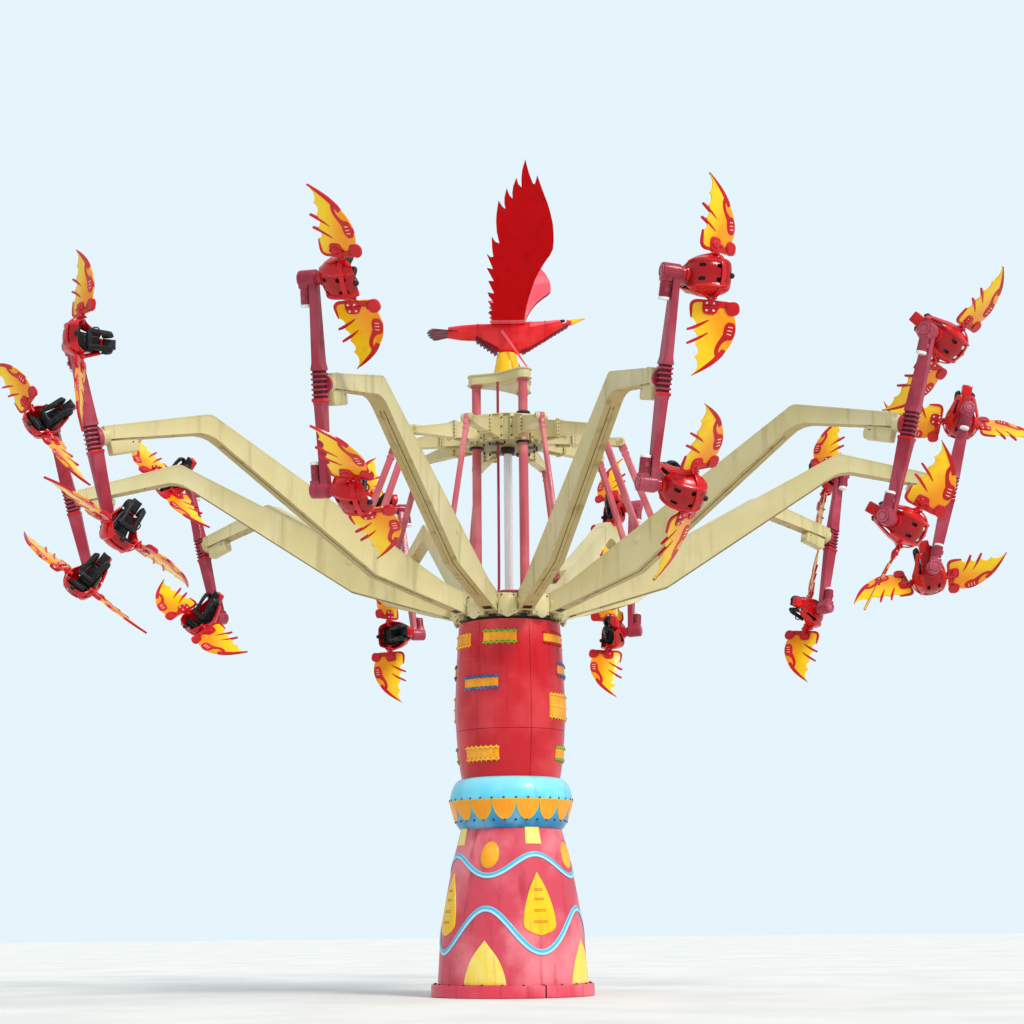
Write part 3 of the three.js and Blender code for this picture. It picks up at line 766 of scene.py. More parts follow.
tags = []
for back in (0, 180):
    for azimuth, height, width, rise, rails, rows in (
        (-10.8, 7.015, 0.68, 0.285, 1, 1), (-64.5, 6.99, 0.66, 0.28, 4, 1), (57.5, 7.02, 0.66, 0.26, 3, 1),
        (-33.0, 6.10, 0.80, 0.275, 2, 1), (79.0, 6.40, 0.72, 0.27, 2, 1), (66.0, 5.65, 0.84, 0.50, 4, 2),
        (-33.5, 4.695, 0.78, 0.285, 4, 1), (76.0, 4.715, 0.70, 0.29, 1, 1),
    ):
        tags.append(tag(azimuth + back, height, width, rise, rails, rows))
piece(
    "drum_tags", gathered(tags), "base",
    [TAG_ORANGE, TAG_GREEN, TAG_BLUE, TAG_RED, TAG_YELLOW, TAG_SHADOW],
)

# Turntable. A welded cream deck on the slewing ring, with a core in the middle and a boxed lug between each
# two arms. The arms' pins sit in the lugs, each with a pointed pod bolted on. The deck is painted a darker
# greasy cream as shade with grease stains, and the slewing ring black as the line of shade under it.
ARMS = 10
FIRST_ARM = math.radians(-109.69)
ARM_PITCH = TURN / ARMS
CORE_OUT = 0.56
CORE_IN = 0.13
RING_BOTTOM = 7.3744
DECK_BOTTOM = 7.44
DECK_TOP = 7.48
LUG_TOP = 7.88
LUG_OUT = 1.13
LUG_NOSE = 1.175
ARM_SLOT_HALF = 0.16
PIVOT_OUT = 1.15
PIVOT_UP = 7.72

CREAM = weathered(
    "cream_paint", (208, 195, 142), (220, 209, 164), (160, 142, 94), 0.42, fading=0.7, staining=0.42,
    coat=0.12, grain=0.8,
)
# A darker copy of the cream paint, used as painted shade on undersides.
CREAM_PAINTED_SHADE = weathered(
    "cream_underside_painted_shade", (182, 160, 104), (192, 174, 122), (126, 102, 58), 0.5, fading=0.6, staining=0.5
)
BLACK_STEEL = weathered("black_steel", (34, 32, 32), (60, 56, 52), (14, 12, 12), 0.55, grain=6)
# Cream darkened as painted shade for undersides and the deck, with dark grease stains.
GREASE_AND_PAINTED_SHADE = weathered(
    "greasy_cream_painted_shade", (150, 138, 92), (176, 164, 118), (52, 42, 26), 0.55, fading=0.8, staining=0.9, grain=3
)


def arm_frame(index):
    """An arm's own frame: X outward, Y the way the riders fly, Z up."""
    return Matrix.Rotation(FIRST_ARM + ARM_PITCH * index, 4, "Z")


def add_side_plate(mesh, outline, low, high, soften=0.0, finish=0, panel_rim=0.0, panel_depth=0.0, rounds=2):
    """An outline in X and Z with its thickness from low to high along Y, and a sunk panel on both faces."""
    near, far, ring, moved = add_slab(mesh, [(x, low, z) for x, z in outline], (0, high - low, 0), finish)
    if panel_rim:
        for inward, depth in ((panel_rim, 0), (0.004, -panel_depth)):
            bmesh.ops.inset_region(
                mesh, faces=[near, far], thickness=inward, depth=depth, use_even_offset=True
            )
    if soften:
        rounded(mesh, corners(mesh, ring + moved, 0.35), soften, rounds)


def moved_copy(mesh, place):
    """A copy of a bmesh set in place, with its faces kept outward where the place mirrors it."""
    made = mesh.copy()
    bmesh.ops.transform(made, matrix=place, verts=made.verts)
    if place.determinant() < 0:
        bmesh.ops.reverse_faces(made, faces=made.faces)
    return made


ring = lathe([
    (CORE_OUT, RING_BOTTOM), (0.955, RING_BOTTOM), (0.955, DECK_BOTTOM), (CORE_OUT, DECK_BOTTOM),
], 96, closed=True)
# The slewing ring is black as the painted line of shade under the deck.
tint(ring.faces, 2)
deck = lathe([
    (CORE_IN, DECK_BOTTOM), (0.985, DECK_BOTTOM), (1.0, DECK_BOTTOM + 0.005), (1.0, DECK_TOP - 0.008),
    (0.99, DECK_TOP), (CORE_IN, DECK_TOP),
], 96, closed=True)
# The deck takes the darker greasy cream as painted shade.
tint(deck.faces, 3)
core = lathe([
    (CORE_IN, DECK_TOP), (0.62, DECK_TOP), (0.62, LUG_TOP - 0.01), (0.61, LUG_TOP), (CORE_IN, LUG_TOP),
], 60, closed=True)

half_pitch = ARM_PITCH / 2
lug_gap = ARM_SLOT_HALF / math.cos(half_pitch)
side_in = CORE_OUT * math.tan(half_pitch) - lug_gap
side_out = LUG_OUT * math.tan(half_pitch) - lug_gap
lug = bmesh.new()
add_slab(lug, [(x, y, DECK_TOP - 0.02) for x, y in (
    (CORE_OUT, side_in), (LUG_OUT, side_out), (LUG_NOSE, 0.075), (LUG_NOSE, -0.075), (LUG_OUT, -side_out),
    (CORE_OUT, -side_in),
)], (0, 0, LUG_TOP - DECK_TOP + 0.02))
rounded(lug, lug.edges, 0.008)
pod = bmesh.new()
bmesh.ops.create_uvsphere(pod, u_segments=24, v_segments=20, radius=1)
for vert in pod.verts:
    height = vert.co.z
    span = (1 - abs(height) ** 2.6) ** 0.65
    flat = math.hypot(vert.co.x, vert.co.y)
    across = vert.co.y / flat if flat > 1e-4 else 0
    bulge = 0.62 * (1 - abs(across)) + 0.38 * math.sqrt(max(0.0, 1 - across * across))
    out = math.copysign(0.092 * bulge * span, 1 if vert.co.x > 0 else -1)
    vert.co = Vector((1.155 + out, across * span * 0.185, 7.635 + height * 0.25))
for side in (-1, 1):
    for height in (7.83, 7.50):
        add_bolt(pod, turned((1.172, side * 0.125, height), "Y"), 0.015, 1)
lug_whole = gathered([lug, pod])

bay = bmesh.new()
# A flat black ball stands for the shaded slot under each arm as painted shade. The blocks beside it take the
# darker greasy cream as painted shade.
add_ball(bay, Matrix.Translation((0.992, 0, 7.462)), (0.028, 0.105, 0.026), 20, 10, 2)
for side in (-1, 1):
    add_box(bay, (0.93, side * 0.15 - 0.012, 7.43), (1.012, side * 0.15 + 0.012, 7.505), 0.003, 3)
    add_rod(bay, 0.009, (1.006, side * 0.175, 7.44), (1.0, side * 0.19, 7.56), 8, None, 2)
    add_rod(bay, 0.011, (1.0, side * 0.10, 7.492), (1.0, side * 0.22, 7.492), 8, None, 2)
    add_box(bay, (0.955, side * 0.085 - 0.02, 7.476), (1.005, side * 0.085 + 0.02, 7.503), 0.004, 3)
parts = [ring, deck, core]
for k in range(ARMS):
    parts.append(moved_copy(lug_whole, arm_frame(k + 0.5)))
    parts.append(moved_copy(bay, arm_frame(k)))
finishes = [CREAM, BOLT_STEEL, BLACK_STEEL, GREASE_AND_PAINTED_SHADE]
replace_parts(piece("turntable_deck", gathered(parts), "turntable", finishes), "turntable")

# Guide mast. Three painted steel tubes stand on the turntable on bolted feet. A welded cream box of two
# lobed plates with hollowed sides joins their tops. A thin maroon hose pipe runs down beside them and over
# the lugs.
COLUMN_OUT = 0.65
COLUMN_TOP = 12.47
COLUMN_RADIUS = 0.095
COLUMN_SPOTS = arc((0, 0), COLUMN_OUT, 180, 120, 3)
FOOT_BOTTOM = LUG_TOP + 0.0005
FOOT_TOP = LUG_TOP + 0.028
PLATE_TOP = 12.68
MAROON = weathered(
    "maroon_paint", (160, 44, 64), (188, 84, 102), (106, 20, 40), 0.34, fading=0.6, staining=0.4, coat=0.15,
    grain=1.2,
)
MAROON_FADED = weathered(
    "faded_maroon_paint", (198, 92, 102), (224, 134, 140), (140, 48, 62), 0.36, fading=0.7, staining=0.4,
    coat=0.12, grain=1.2,
)
mast = bmesh.new()
for x, y in COLUMN_SPOTS:
    for radius, low, high, tip in (
        (COLUMN_RADIUS, FOOT_BOTTOM, COLUMN_TOP + 0.02, None), (0.15, FOOT_BOTTOM, FOOT_TOP, None),
        (0.118, FOOT_TOP, LUG_TOP + 0.07, 0.098), (0.128, COLUMN_TOP - 0.035, COLUMN_TOP, None),
    ):
        add_rod(mast, radius, (x, y, low), (x, y, high), 40, tip)
    add_bolt_circle(mast, Matrix.Translation((x, y, FOOT_TOP)), 0.132, 8, 0.010, 1)


def lobed(lobe, hollow, low, high):
    """A plate of three round lobes over the columns, with sides that curve inward between them."""
    outline = []
    for angle in (-60, 60, 180):
        centre = arc((0, 0), COLUMN_OUT, angle, 0, 1)[0]
        outline += arc(centre, lobe, angle - 84, 14, 13)
        for n in (-1, 0, 1):
            outline += arc((0, 0), hollow * (1 + 0.09 * abs(n)), angle + 60 + 18 * n, 0, 1)
    mesh = bmesh.new()
    add_slab(mesh, [(x, y, low) for x, y in outline], (0, 0, high - low))
    rounded(mesh, [e for e in mesh.edges if abs(e.verts[0].co.z - e.verts[1].co.z) < 1e-6], 0.004)
    return mesh


top_bolts = bmesh.new()
for x, y in COLUMN_SPOTS:
    add_bolt_circle(top_bolts, Matrix.Translation((x, y, PLATE_TOP)), 0.12, 6, 0.012, 1, 0)
made = piece("mast_columns", mast, "turntable", [MAROON_FADED, BLACK_STEEL])
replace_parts(made, "guide_mast")
head = [lobed(*sizes) for sizes in (
    (0.19, 0.40, COLUMN_TOP, 12.492), (0.165, 0.37, 12.49, 12.656), (0.19, 0.40, 12.654, PLATE_TOP),
)]
piece("mast_top_plate", gathered([*head, top_bolts]), "turntable", [CREAM, BLACK_STEEL])


def join_rings(mesh, rings, finish):
    """Skins a row of rings of vertices into one closed tube."""
    loops = []
    for ring_verts in rings:
        loops.append([mesh.edges.new((a, b)) for a, b in zip(ring_verts, ring_verts[1:] + ring_verts[:1])])
    made = []
    for one, two in zip(loops, loops[1:]):
        made += bmesh.ops.bridge_loops(mesh, edges=one + two)["faces"]
    made += [mesh.faces.new(rings[0]), mesh.faces.new(rings[-1])]
    tint(made, finish)
    bmesh.ops.recalc_face_normals(mesh, faces=made)


def add_pipe(mesh, path, radius, sides=12, finish=0):
    """A tube swept along a smooth path, with closed ends."""
    points = [Vector(p) for p in path]
    rings = []
    side = Vector((0, 0, 1)).cross(points[1] - points[0])
    side = side.normalized() if side.length > 1e-4 else Vector((1, 0, 0))
    for k, point in enumerate(points):
        along = (points[min(k + 1, len(points) - 1)] - points[max(k - 1, 0)]).normalized()
        side = (side - along * side.dot(along)).normalized()
        up = along.cross(side)
        circle = arc((0, 0), radius, 0, 360 / sides, sides)
        rings.append([mesh.verts.new(point + side * x + up * y) for x, y in circle])
    join_rings(mesh, rings, finish)


hose = bmesh.new()
add_pipe(hose, flowing([
    (-0.20, -0.34, 12.47), (-0.20, -0.34, 11.2), (-0.20, -0.34, 9.6), (-0.205, -0.36, 8.25),
    (-0.215, -0.40, 8.02), (-0.20, -0.60, 7.935), (-0.185, -0.95, 7.915), (-0.12, -1.13, 7.905),
    (0.02, -1.165, 7.90), (0.14, -1.14, 7.905), (0.20, -0.98, 7.91), (0.22, -0.66, 7.90),
], 8), 0.028)
piece("hose_pipe", hose, "turntable", [MAROON])

# Sliding star. A welded cream hub on three bushings with ten tapered outriggers, each bolted on at a flange
# of dark bolts. Each ends in two cheeks with round bosses that hold the rod's pin. The underside is
# painted a darker greasy cream as shade, and flat black discs stand for its round openings as painted shade.
HUB_BOTTOM = 11.13
HUB_TOP = 11.712
CLEVIS_OUT = 2.362
CLEVIS_UP = 11.213
HUB_IN = 0.11
HUB_OUT = 0.742
HUB_WALL = 0.705
hub = lathe([
    (HUB_IN, HUB_BOTTOM), (0.715, HUB_BOTTOM), (HUB_OUT, HUB_BOTTOM + 0.012), (HUB_OUT, HUB_BOTTOM + 0.024),
    (HUB_WALL, HUB_BOTTOM + 0.026), (HUB_WALL, HUB_TOP - 0.026), (HUB_OUT, HUB_TOP - 0.024),
    (HUB_OUT, HUB_TOP - 0.012), (0.715, HUB_TOP), (HUB_IN, HUB_TOP),
], 20, FIRST_ARM + math.pi / 2 + half_pitch / 2, TURN, True)
# The hub's bottom faces take the darker greasy cream as painted shade.
tint([face for face in hub.faces if face.calc_center_median().z < HUB_BOTTOM + 0.006], 4)
outrigger = bmesh.new()
for outline, half in (
    ([(0.66, 11.19), (1.36, 11.164), (1.36, 11.484), (0.66, 11.655)], 0.105),
    ([(1.40, 11.162), (2.27, 11.138), (2.27, 11.272), (1.40, 11.475)], 0.095),
):
    add_side_plate(outrigger, outline, -half, half, 0.005, 0, 0.016, 0.006)
for x in (1.352, 1.384):
    add_box(outrigger, (x, -0.15, 11.135), (x + 0.024, 0.15, 11.515), 0.004)
for side in (-1, 1):
    for n in range(5):
        for x, quarters in ((1.408, 1), (1.352, -1)):
            add_bolt(outrigger, turned((x, side * 0.125, 11.17 + 0.077 * n), "Y", quarters), 0.013, 1)
    flank = side * 0.118
    add_box(outrigger, (0.715, flank - 0.045, 11.14), (0.745, flank + 0.045, 11.70), 0.004)
    for n in range(3):
        add_bolt(outrigger, turned((0.745, side * 0.135, 11.22 + 0.19 * n), "Y"), 0.016, 2)
    cheek = [(2.11, 11.138), (2.36, 11.119), *arc((CLEVIS_OUT, CLEVIS_UP), 0.094, -75, 15, 12), (2.11, 11.30)]
    low, high = sorted((side * 0.046, side * 0.088))
    add_side_plate(outrigger, cheek, low, high, 0.005)
    for radius, start, end, sides, tip, shade in (
        (0.078, 0.088, 0.118, 32, None, 0), (0.052, 0.118, 0.128, 24, 0.044, 3),
    ):
        ends = [(CLEVIS_OUT, side * reach, CLEVIS_UP) for reach in (start, end)]
        add_rod(outrigger, radius, *ends, sides, tip, shade)
add_rod(outrigger, 0.038, (CLEVIS_OUT, -0.05, CLEVIS_UP), (CLEVIS_OUT, 0.05, CLEVIS_UP), 20)
# This strip under the outrigger takes the darker cream as painted shade.
add_box(outrigger, (1.0, -0.05, 11.136), (1.3, 0.05, 11.172), 0.004, 3)
star_parts = [hub, *(moved_copy(outrigger, arm_frame(k)) for k in range(ARMS))]
below = bmesh.new()
for k, (x, y) in enumerate(COLUMN_SPOTS):
    for reach, low, high in (
        (0.155, HUB_BOTTOM - 0.035, HUB_BOTTOM + 0.004), (0.145, HUB_TOP - 0.004, HUB_TOP + 0.045),
    ):
        sleeve = lathe([(0.098, low), (reach, low), (reach, high), (0.098, high)], 32, closed=True)
        bmesh.ops.translate(sleeve, verts=sleeve.verts, vec=(x, y, 0))
        tint(sleeve.faces, 2)
        star_parts.append(sleeve)
    between = 240 + 120 * k
    hole = arc((0, 0), 0.43, between, 0, 1)[0]
    # Flat black discs stand for the round openings in the underside, as painted shade.
    add_ball(below, Matrix.Translation((*hole, HUB_BOTTOM)), (0.15, 0.15, 0.004), 24, 8, 2)
    for stud_x, stud_y in arc((0, 0), 0.61, between - 24, 16, 4):
        add_rod(below, 0.02, (stud_x, stud_y, HUB_BOTTOM - 0.05), (stud_x, stud_y, HUB_BOTTOM), 10, None, 2)
star_parts.append(below)
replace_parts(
    piece("sliding_star", gathered(star_parts), "star",
          [CREAM, BOLT_STEEL, BLACK_STEEL, CREAM_PAINTED_SHADE, GREASE_AND_PAINTED_SHADE]),
    "star_frame",
)

# Ram. A bright chromed rod under the star's middle that slides down into the drum, with a dark collar at
# its head.
RAM_BOTTOM = 6.95
RAM_TOP = 11.1297
CHROME = Finish("chromed_steel", paint(214, 216, 222), 0.12, 0.5)
chrome_streaks = CHROME.between(CHROME.noise(14, (1, 1, 0.03), 3), 0.4, 0.7)
CHROME.feed("Base Color", CHROME.mix(chrome_streaks * 0.5, paint(252, 252, 252), paint(224, 226, 230)))
CHROME.feed("Roughness", chrome_streaks * 0.2 + 0.26)
ram = bmesh.new()
for radius, low, high, sides, tip, shade in (
    (0.088, RAM_BOTTOM, RAM_TOP, 64, None, 0), (0.15, 11.06, RAM_TOP, 40, None, 1),
    (0.118, 10.99, 11.06, 40, 0.15, 1),
):
    add_rod(ram, radius, (0, 0, low), (0, 0, high), sides, tip, shade)
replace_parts(piece("ram_rod_chromed", ram, "star", [CHROME.material, BLACK_STEEL]), "ram_rod")
gland = lathe([
    (0.092, LUG_TOP), (0.21, LUG_TOP), (0.20, LUG_TOP + 0.03), (0.14, LUG_TOP + 0.05),
    (0.092, LUG_TOP + 0.05),
], 48, closed=True)
piece("ram_gland", gland, "turntable", [BLACK_STEEL])

# Tie rods. Ten maroon steel links from the star's clevises down to the arms' pins: a round head with a
# bushing, a collar, a square bar with rounded edges and a plain lower eye.
ROD_LOW = Vector((3.28, 0, 8.76))
ROD_HIGH = Vector((CLEVIS_OUT, 0, CLEVIS_UP))
ROD_LENGTH = (ROD_HIGH - ROD_LOW).length
rod_lean = math.atan2(ROD_LOW.x - ROD_HIGH.x, ROD_HIGH.z - ROD_LOW.z)
rod_place = Matrix.Translation(ROD_HIGH) @ Matrix.Rotation(-rod_lean, 4, "Y")
rod_parts = []
for height in (0.0, -ROD_LENGTH):
    eye_ring = lathe([
        (0.0395, -0.042), (0.088, -0.042), (0.092, -0.036), (0.092, 0.036), (0.088, 0.042), (0.0395, 0.042),
    ], 32, closed=True)
    bmesh.ops.transform(eye_ring, matrix=turned((0, 0, height), "X"), verts=eye_ring.verts)
    rod_parts.append(eye_ring)
bars = bmesh.new()
for wide, deep, low, high, soften in (
    (0.07, 0.04, -ROD_LENGTH + 0.075, -0.075, 0.022), (0.082, 0.044, -0.30, -0.24, 0.012),
    (0.086, 0.044, -0.20, -0.06, 0.02), (0.084, 0.044, -ROD_LENGTH + 0.06, -ROD_LENGTH + 0.20, 0.02),
):
    add_box(bars, (-wide, -deep, low), (wide, deep, high), soften)
rod = gathered([*rod_parts, bars])
for number in range(1, ARMS + 1):
    link = moved_copy(rod, arm_frame(number - 1) @ rod_place)
    made = piece(f"tie_rod_link_{number}", link, f"tie_rod_{number}", [MAROON_FADED])
    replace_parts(made, f"tie_rod_{number}")


# Arms. Ten kneed box girders welded from steel plate and painted cream: thin flanges stand proud of the
# side webs, and a raised seam strip runs along the belly. The boom's geared motor hangs in a rounded case
# under the tip.
TILT = math.radians(15.33)
TIP = Vector((9.0, 0, 10.337))
TIP_BOTTOM = (8.934, 10.096)
SHAFT_DOWN = 0.1735
BOOM_OUT = 0.2026
shaft_place = (
    Matrix.Translation((TIP.x - math.sin(TILT) * SHAFT_DOWN, 0, TIP.z - math.cos(TILT) * SHAFT_DOWN))
    @ Matrix.Rotation(TILT, 4, "Y")
)
ROOT = arc((PIVOT_OUT, PIVOT_UP), 0.195, 118, 169 / 12, 13)
UNDER = flowing([(3.25, 8.12), (4.84, 9.155), (6.43, 10.19)], 1)
UNDER += [(6.62, 10.318), (6.78, 10.41), (6.92, 10.452), (7.10, 10.462)]
OVER = [(7.02, 10.828), (6.94, 10.848), (6.86, 10.85), (6.78, 10.826), (6.70, 10.781), (1.586, 8.066)]
BELLY = [(z, x) for x, z in [(1.21, 7.535), *UNDER, TIP_BOTTOM]]


def cut(mesh, cutter):
    """A bmesh with another one cut out of it."""
    for shape in (mesh, cutter):
        bmesh.ops.triangulate(shape, faces=[f for f in shape.faces if len(f.verts) > 4])
    body = held("cut", mesh)
    tool = held("cutter", cutter)
    modifier = body.modifiers.new("cut", "BOOLEAN")
    modifier.operation = "DIFFERENCE"
    modifier.solver = "EXACT"
    modifier.object = tool
    whole = bmesh.new()
    whole.from_mesh(evaluated(body))
    bpy.data.objects.remove(body)
    bpy.data.objects.remove(tool)
    return whole


girder = bmesh.new()
add_side_plate(girder, [*ROOT, *UNDER, TIP_BOTTOM, (TIP.x, TIP.z), *OVER], -0.15, 0.15, 0.006, 0, 0.02, 0.007)
pocket = bmesh.new()
add_side_plate(pocket, [(2.76, 9.6), (2.76, 8.33), (3.55, 8.39), (3.61, 9.6)], -0.1, 0.1)
girder = cut(girder, pocket)
# The girder's downward faces take the darker cream as painted shade.
for face in girder.faces:
    if face.normal.z < -0.5 and abs(face.normal.y) < 0.3 and face.calc_center_median().x > 1.4:
        face.material_index = 1


def on_belly(out, ahead, across=0.0, down=0.0):
    """A frame on the girder's belly with X toward its point further out, and the way to that point."""
    low, high = (radius_on(BELLY, x) for x in (out, ahead))
    turn = Matrix.Rotation(-math.atan2(high - low, ahead - out), 4, "Y")
    return Matrix.Translation((out, across, low - down)) @ turn, math.hypot(ahead - out, high - low)


# The belly's seam strip takes the darker cream as painted shade. Thin black strips beside it are painted
# shade in its grooves, and a black block is the shaded slot at the root.
for start, stop, across, width, low, high, shade in (
    (1.24, 1.37, 0.0, 0.19, -0.004, 0.002, 2), (1.95, 6.55, 0.0, 0.062, -0.002, 0.012, 1),
    (1.85, 6.60, -0.036, 0.007, -0.002, 0.005, 2), (1.85, 6.60, 0.036, 0.007, -0.002, 0.005, 2),
):
    spots = [start, *[x for _, x in BELLY if start < x < stop], stop]
    for a, b in zip(spots, spots[1:]):
        place, way = on_belly(a, b, across)
        add_box(girder, (-0.002, -width / 2, -high), (way + 0.002, width / 2, -low), 0.0015, shade, place)
for out in (2.1, 2.6, 3.15, 3.8, 4.5, 5.2, 5.9, 7.6, 7.9, 8.2):
    place, _ = on_belly(out, out + 0.05, 0.0 if out < TIP.x - 2 else 0.09, 0.001)
    add_bolt(girder, place @ Matrix.Rotation(math.pi, 4, "X"), 0.010, 2)
for side in (-1, 1):
    low, high = sorted((side * 0.1425, side * 0.1465))
    add_side_plate(girder, [(2.30, 7.885), (2.36, 7.90), (2.45, 8.46), (2.39, 8.43)], low, high)
    for radius, x, z, start, end, sides in (
        (0.062, PIVOT_OUT, PIVOT_UP, 0.10, 0.162, 28), (0.045, ROD_LOW.x, ROD_LOW.z, 0.054, 0.16, 24),
        (0.085, ROD_LOW.x, ROD_LOW.z, 0.143, 0.156, 28),
    ):
        add_rod(girder, radius, (x, side * start, z), (x, side * end, z), sides)
add_box(girder, (8.78, -0.153, 10.14), (8.80, 0.153, 10.40), 0.002, 0)
tip = bmesh.new()
add_box(tip, (-0.63, -0.115, -0.3645), (-0.07, 0.115, -0.0945), 0.035)
add_box(tip, (-0.54, -0.08, -0.115), (-0.13, 0.08, -0.0465), 0.006)
add_rod(tip, 0.165, (-0.09, 0, 0), (0.04, 0, 0), 40)
add_bolt_circle(tip, turned((-0.09, 0, 0), "Y", -1), 0.14, 10, 0.010, 2, 0)
for side in (-1, 1):
    add_rod(tip, 0.016, (-0.52, side * 0.113, -0.19), (-0.52, side * 0.117, -0.19), 16, None, 2)
    add_box(tip, (-0.60, side * 0.115 - 0.006, -0.12), (-0.50, side * 0.115 + 0.006, -0.10), 0.002, 2)
    for out in (-0.50, -0.37, -0.24, -0.15):
        add_bolt(tip, turned((out, side * 0.098, -0.0765), "X", 2), 0.014, 2)
add_box(tip, (-0.665, -0.06, -0.30), (-0.625, 0.06, -0.17), 0.012)
add_rod(tip, 0.03, (-0.69, 0.0, -0.235), (-0.65, 0.0, -0.235), 20, None, 3)
bmesh.ops.transform(tip, matrix=shaft_place, verts=tip.verts)
girder = gathered([girder, tip])
CAP_WHITE = weathered("white_cap", (240, 240, 236), (250, 250, 248), (190, 188, 180), 0.45, grain=4)
for number in range(1, ARMS + 1):
    arm = moved_copy(girder, arm_frame(number - 1))
    finishes = [CREAM, CREAM_PAINTED_SHADE, BLACK_STEEL, CAP_WHITE]
    made = piece(f"arm_girder_{number}", arm, f"arm_{number}", finishes)
    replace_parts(made, f"arm_{number}")

# Booms. Ten tapered maroon box beams that spin end over end on the arm's shaft. Ribs are welded round the
# middle with one bright red band. Each end has a round geared roll drive whose motor lies along the beam
# under a white fan cap.
BOOM_HALF = 1.742
BOOM_TURN = math.radians(2.78)
BEAM_WIDE = 0.27
BEAM_DEEP = 0.21
END_WIDE = 0.20
END_DEEP = 0.124
RIBS_HALF = 0.23
RIB_RECESS = 0.045
WIDE_TAPER = 1.3
DEEP_TAPER = 0.13
DRIVE_LIE = 0.162
SCARLET = weathered(
    "scarlet_gelcoat", (206, 10, 20), (222, 38, 44), (146, 6, 14), 0.24, fading=0.35, staining=0.3,
    coat=0.25, grain=1.5,
)
CAP_PINK = weathered("drive_cap", (186, 84, 104), (208, 120, 136), (130, 44, 62), 0.4, fading=0.6, grain=3)
# Dark maroon painted as the shade in the recess between the ribs.
RIB_PAINTED_SHADE = weathered("rib_recess_painted_shade", (84, 14, 28), (104, 24, 40), (40, 8, 16), 0.6, grain=4)


def boom_size(height):
    """The beam's width along the shaft and its depth along the flight at a distance from its middle."""
    past = max(0.0, abs(height) - RIBS_HALF)
    width = BEAM_WIDE - (BEAM_WIDE - END_WIDE) * min(1.0, past / WIDE_TAPER)
    return width, BEAM_DEEP - (BEAM_DEEP - END_DEEP) * min(1.0, past / DEEP_TAPER)


beam = bmesh.new()
bmesh.ops.create_cube(beam, size=1, matrix=Matrix.Diagonal((1, 1, 2 * BOOM_HALF - 0.12, 1)))
for reach in (RIBS_HALF - 0.005, RIBS_HALF, RIBS_HALF + DEEP_TAPER, RIBS_HALF + WIDE_TAPER):
    for level in (-reach, reach):
        geom = [*beam.verts, *beam.edges, *beam.faces]
        bmesh.ops.bisect_plane(beam, geom=geom, plane_co=(0, 0, level), plane_no=(0, 0, 1))
for vert in beam.verts:
    width, depth = boom_size(vert.co.z)
    recess = RIB_RECESS if abs(vert.co.z) < RIBS_HALF - 0.003 else 0
    vert.co.x *= width - recess
    vert.co.y *= depth - recess
# The recessed beam between the ribs takes the dark maroon as painted shade.
tint([face for face in beam.faces if abs(face.calc_center_median().z) < 0.2], 1)
rounded(beam, [e for e in beam.edges if abs(e.verts[0].co.z - e.verts[1].co.z) > 0.1], 0.012, 3)
for level in (-0.19, -0.105, -0.02, 0.065, 0.15):
    add_box(beam, (-0.135, -0.105, level), (0.135, 0.105, level + 0.038), 0.012)
add_box(beam, (-0.139, -0.109, -0.285), (0.139, 0.109, -0.232), 0.008, 2)
add_rod(beam, 0.165, (0.0404 - BOOM_OUT, 0, 0), (-0.08, 0, 0), 40)
add_rod(beam, 0.06, (-BOOM_OUT - 0.09, 0, 0), (-0.1, 0, 0), 24)
add_bolt_circle(beam, turned((-0.118, 0, 0), "Y"), 0.15, 8, 0.008, 4)
for end in (-1, 1):
    z = end * BOOM_HALF
    drive = lathe([
        (0.0, -0.062), (0.128, -0.062), (0.144, -0.046), (0.144, 0.225), (0.137, 0.245), (0.114, 0.250),
        (0.114, 0.262), (0.0, 0.262),
    ], 48)
    for face in drive.faces:
        middle = face.calc_center_median()
        if middle.z > 0.235 and math.hypot(middle.x, middle.y) < 0.118:
            face.material_index = 3
    collar = lathe([(0.066, 0.258), (0.084, 0.258), (0.084, 0.269), (0.066, 0.269)], 36, closed=True)
    for shape in (drive, collar):
        bmesh.ops.transform(shape, matrix=turned((0, 0, z), "X"), verts=shape.verts)
    beam = gathered([beam, drive, collar])
    for radius, start, stop, sides, tip, shade in (
        (0.030, -0.262, -0.268, 20, 0.026, 3), (0.122, 0.05, 0.084, 36, None, 0),
        (0.108, 0.084, 0.11, 36, None, 0),
    ):
        add_rod(beam, radius, (0, start, z), (0, stop, z), sides, tip, shade)
    add_bolt_circle(beam, turned((0, -0.247, z), "X"), 0.128, 8, 0.008, 4)
    low, high = sorted((z, z - end * 0.17))
    add_box(beam, (-0.108, -0.25, low), (0.108, -0.074, high), 0.03)
    fins = [(0.094, 0.20 + 0.024 * k, 0.209 + 0.024 * k, 30, None, 0) for k in range(9)]
    for radius, near, far, sides, tip, shade in (
        (0.086, 0.05, 0.425, 36, None, 0), *fins, (0.095, 0.425, 0.463, 36, None, 5),
        (0.095, 0.463, 0.47, 36, 0.085, 5),
    ):
        ends = [(0, -DRIVE_LIE, z - end * reach) for reach in (near, far)]
        add_rod(beam, radius, *ends, sides, tip, shade)
    box_middle = z - end * 0.31
    add_box(beam, (0.06, -0.20, box_middle - 0.04), (0.115, -0.125, box_middle + 0.04), 0.01, 0)


def spin_frame(index):
    """A boom's frame at rest: X along the shaft, Y the way the riders fly, Z to the upper gondola."""
    hub_place = arm_frame(index) @ shaft_place @ Matrix.Translation((BOOM_OUT, 0, 0))
    return hub_place @ Matrix.Rotation(-BOOM_TURN, 4, "X")


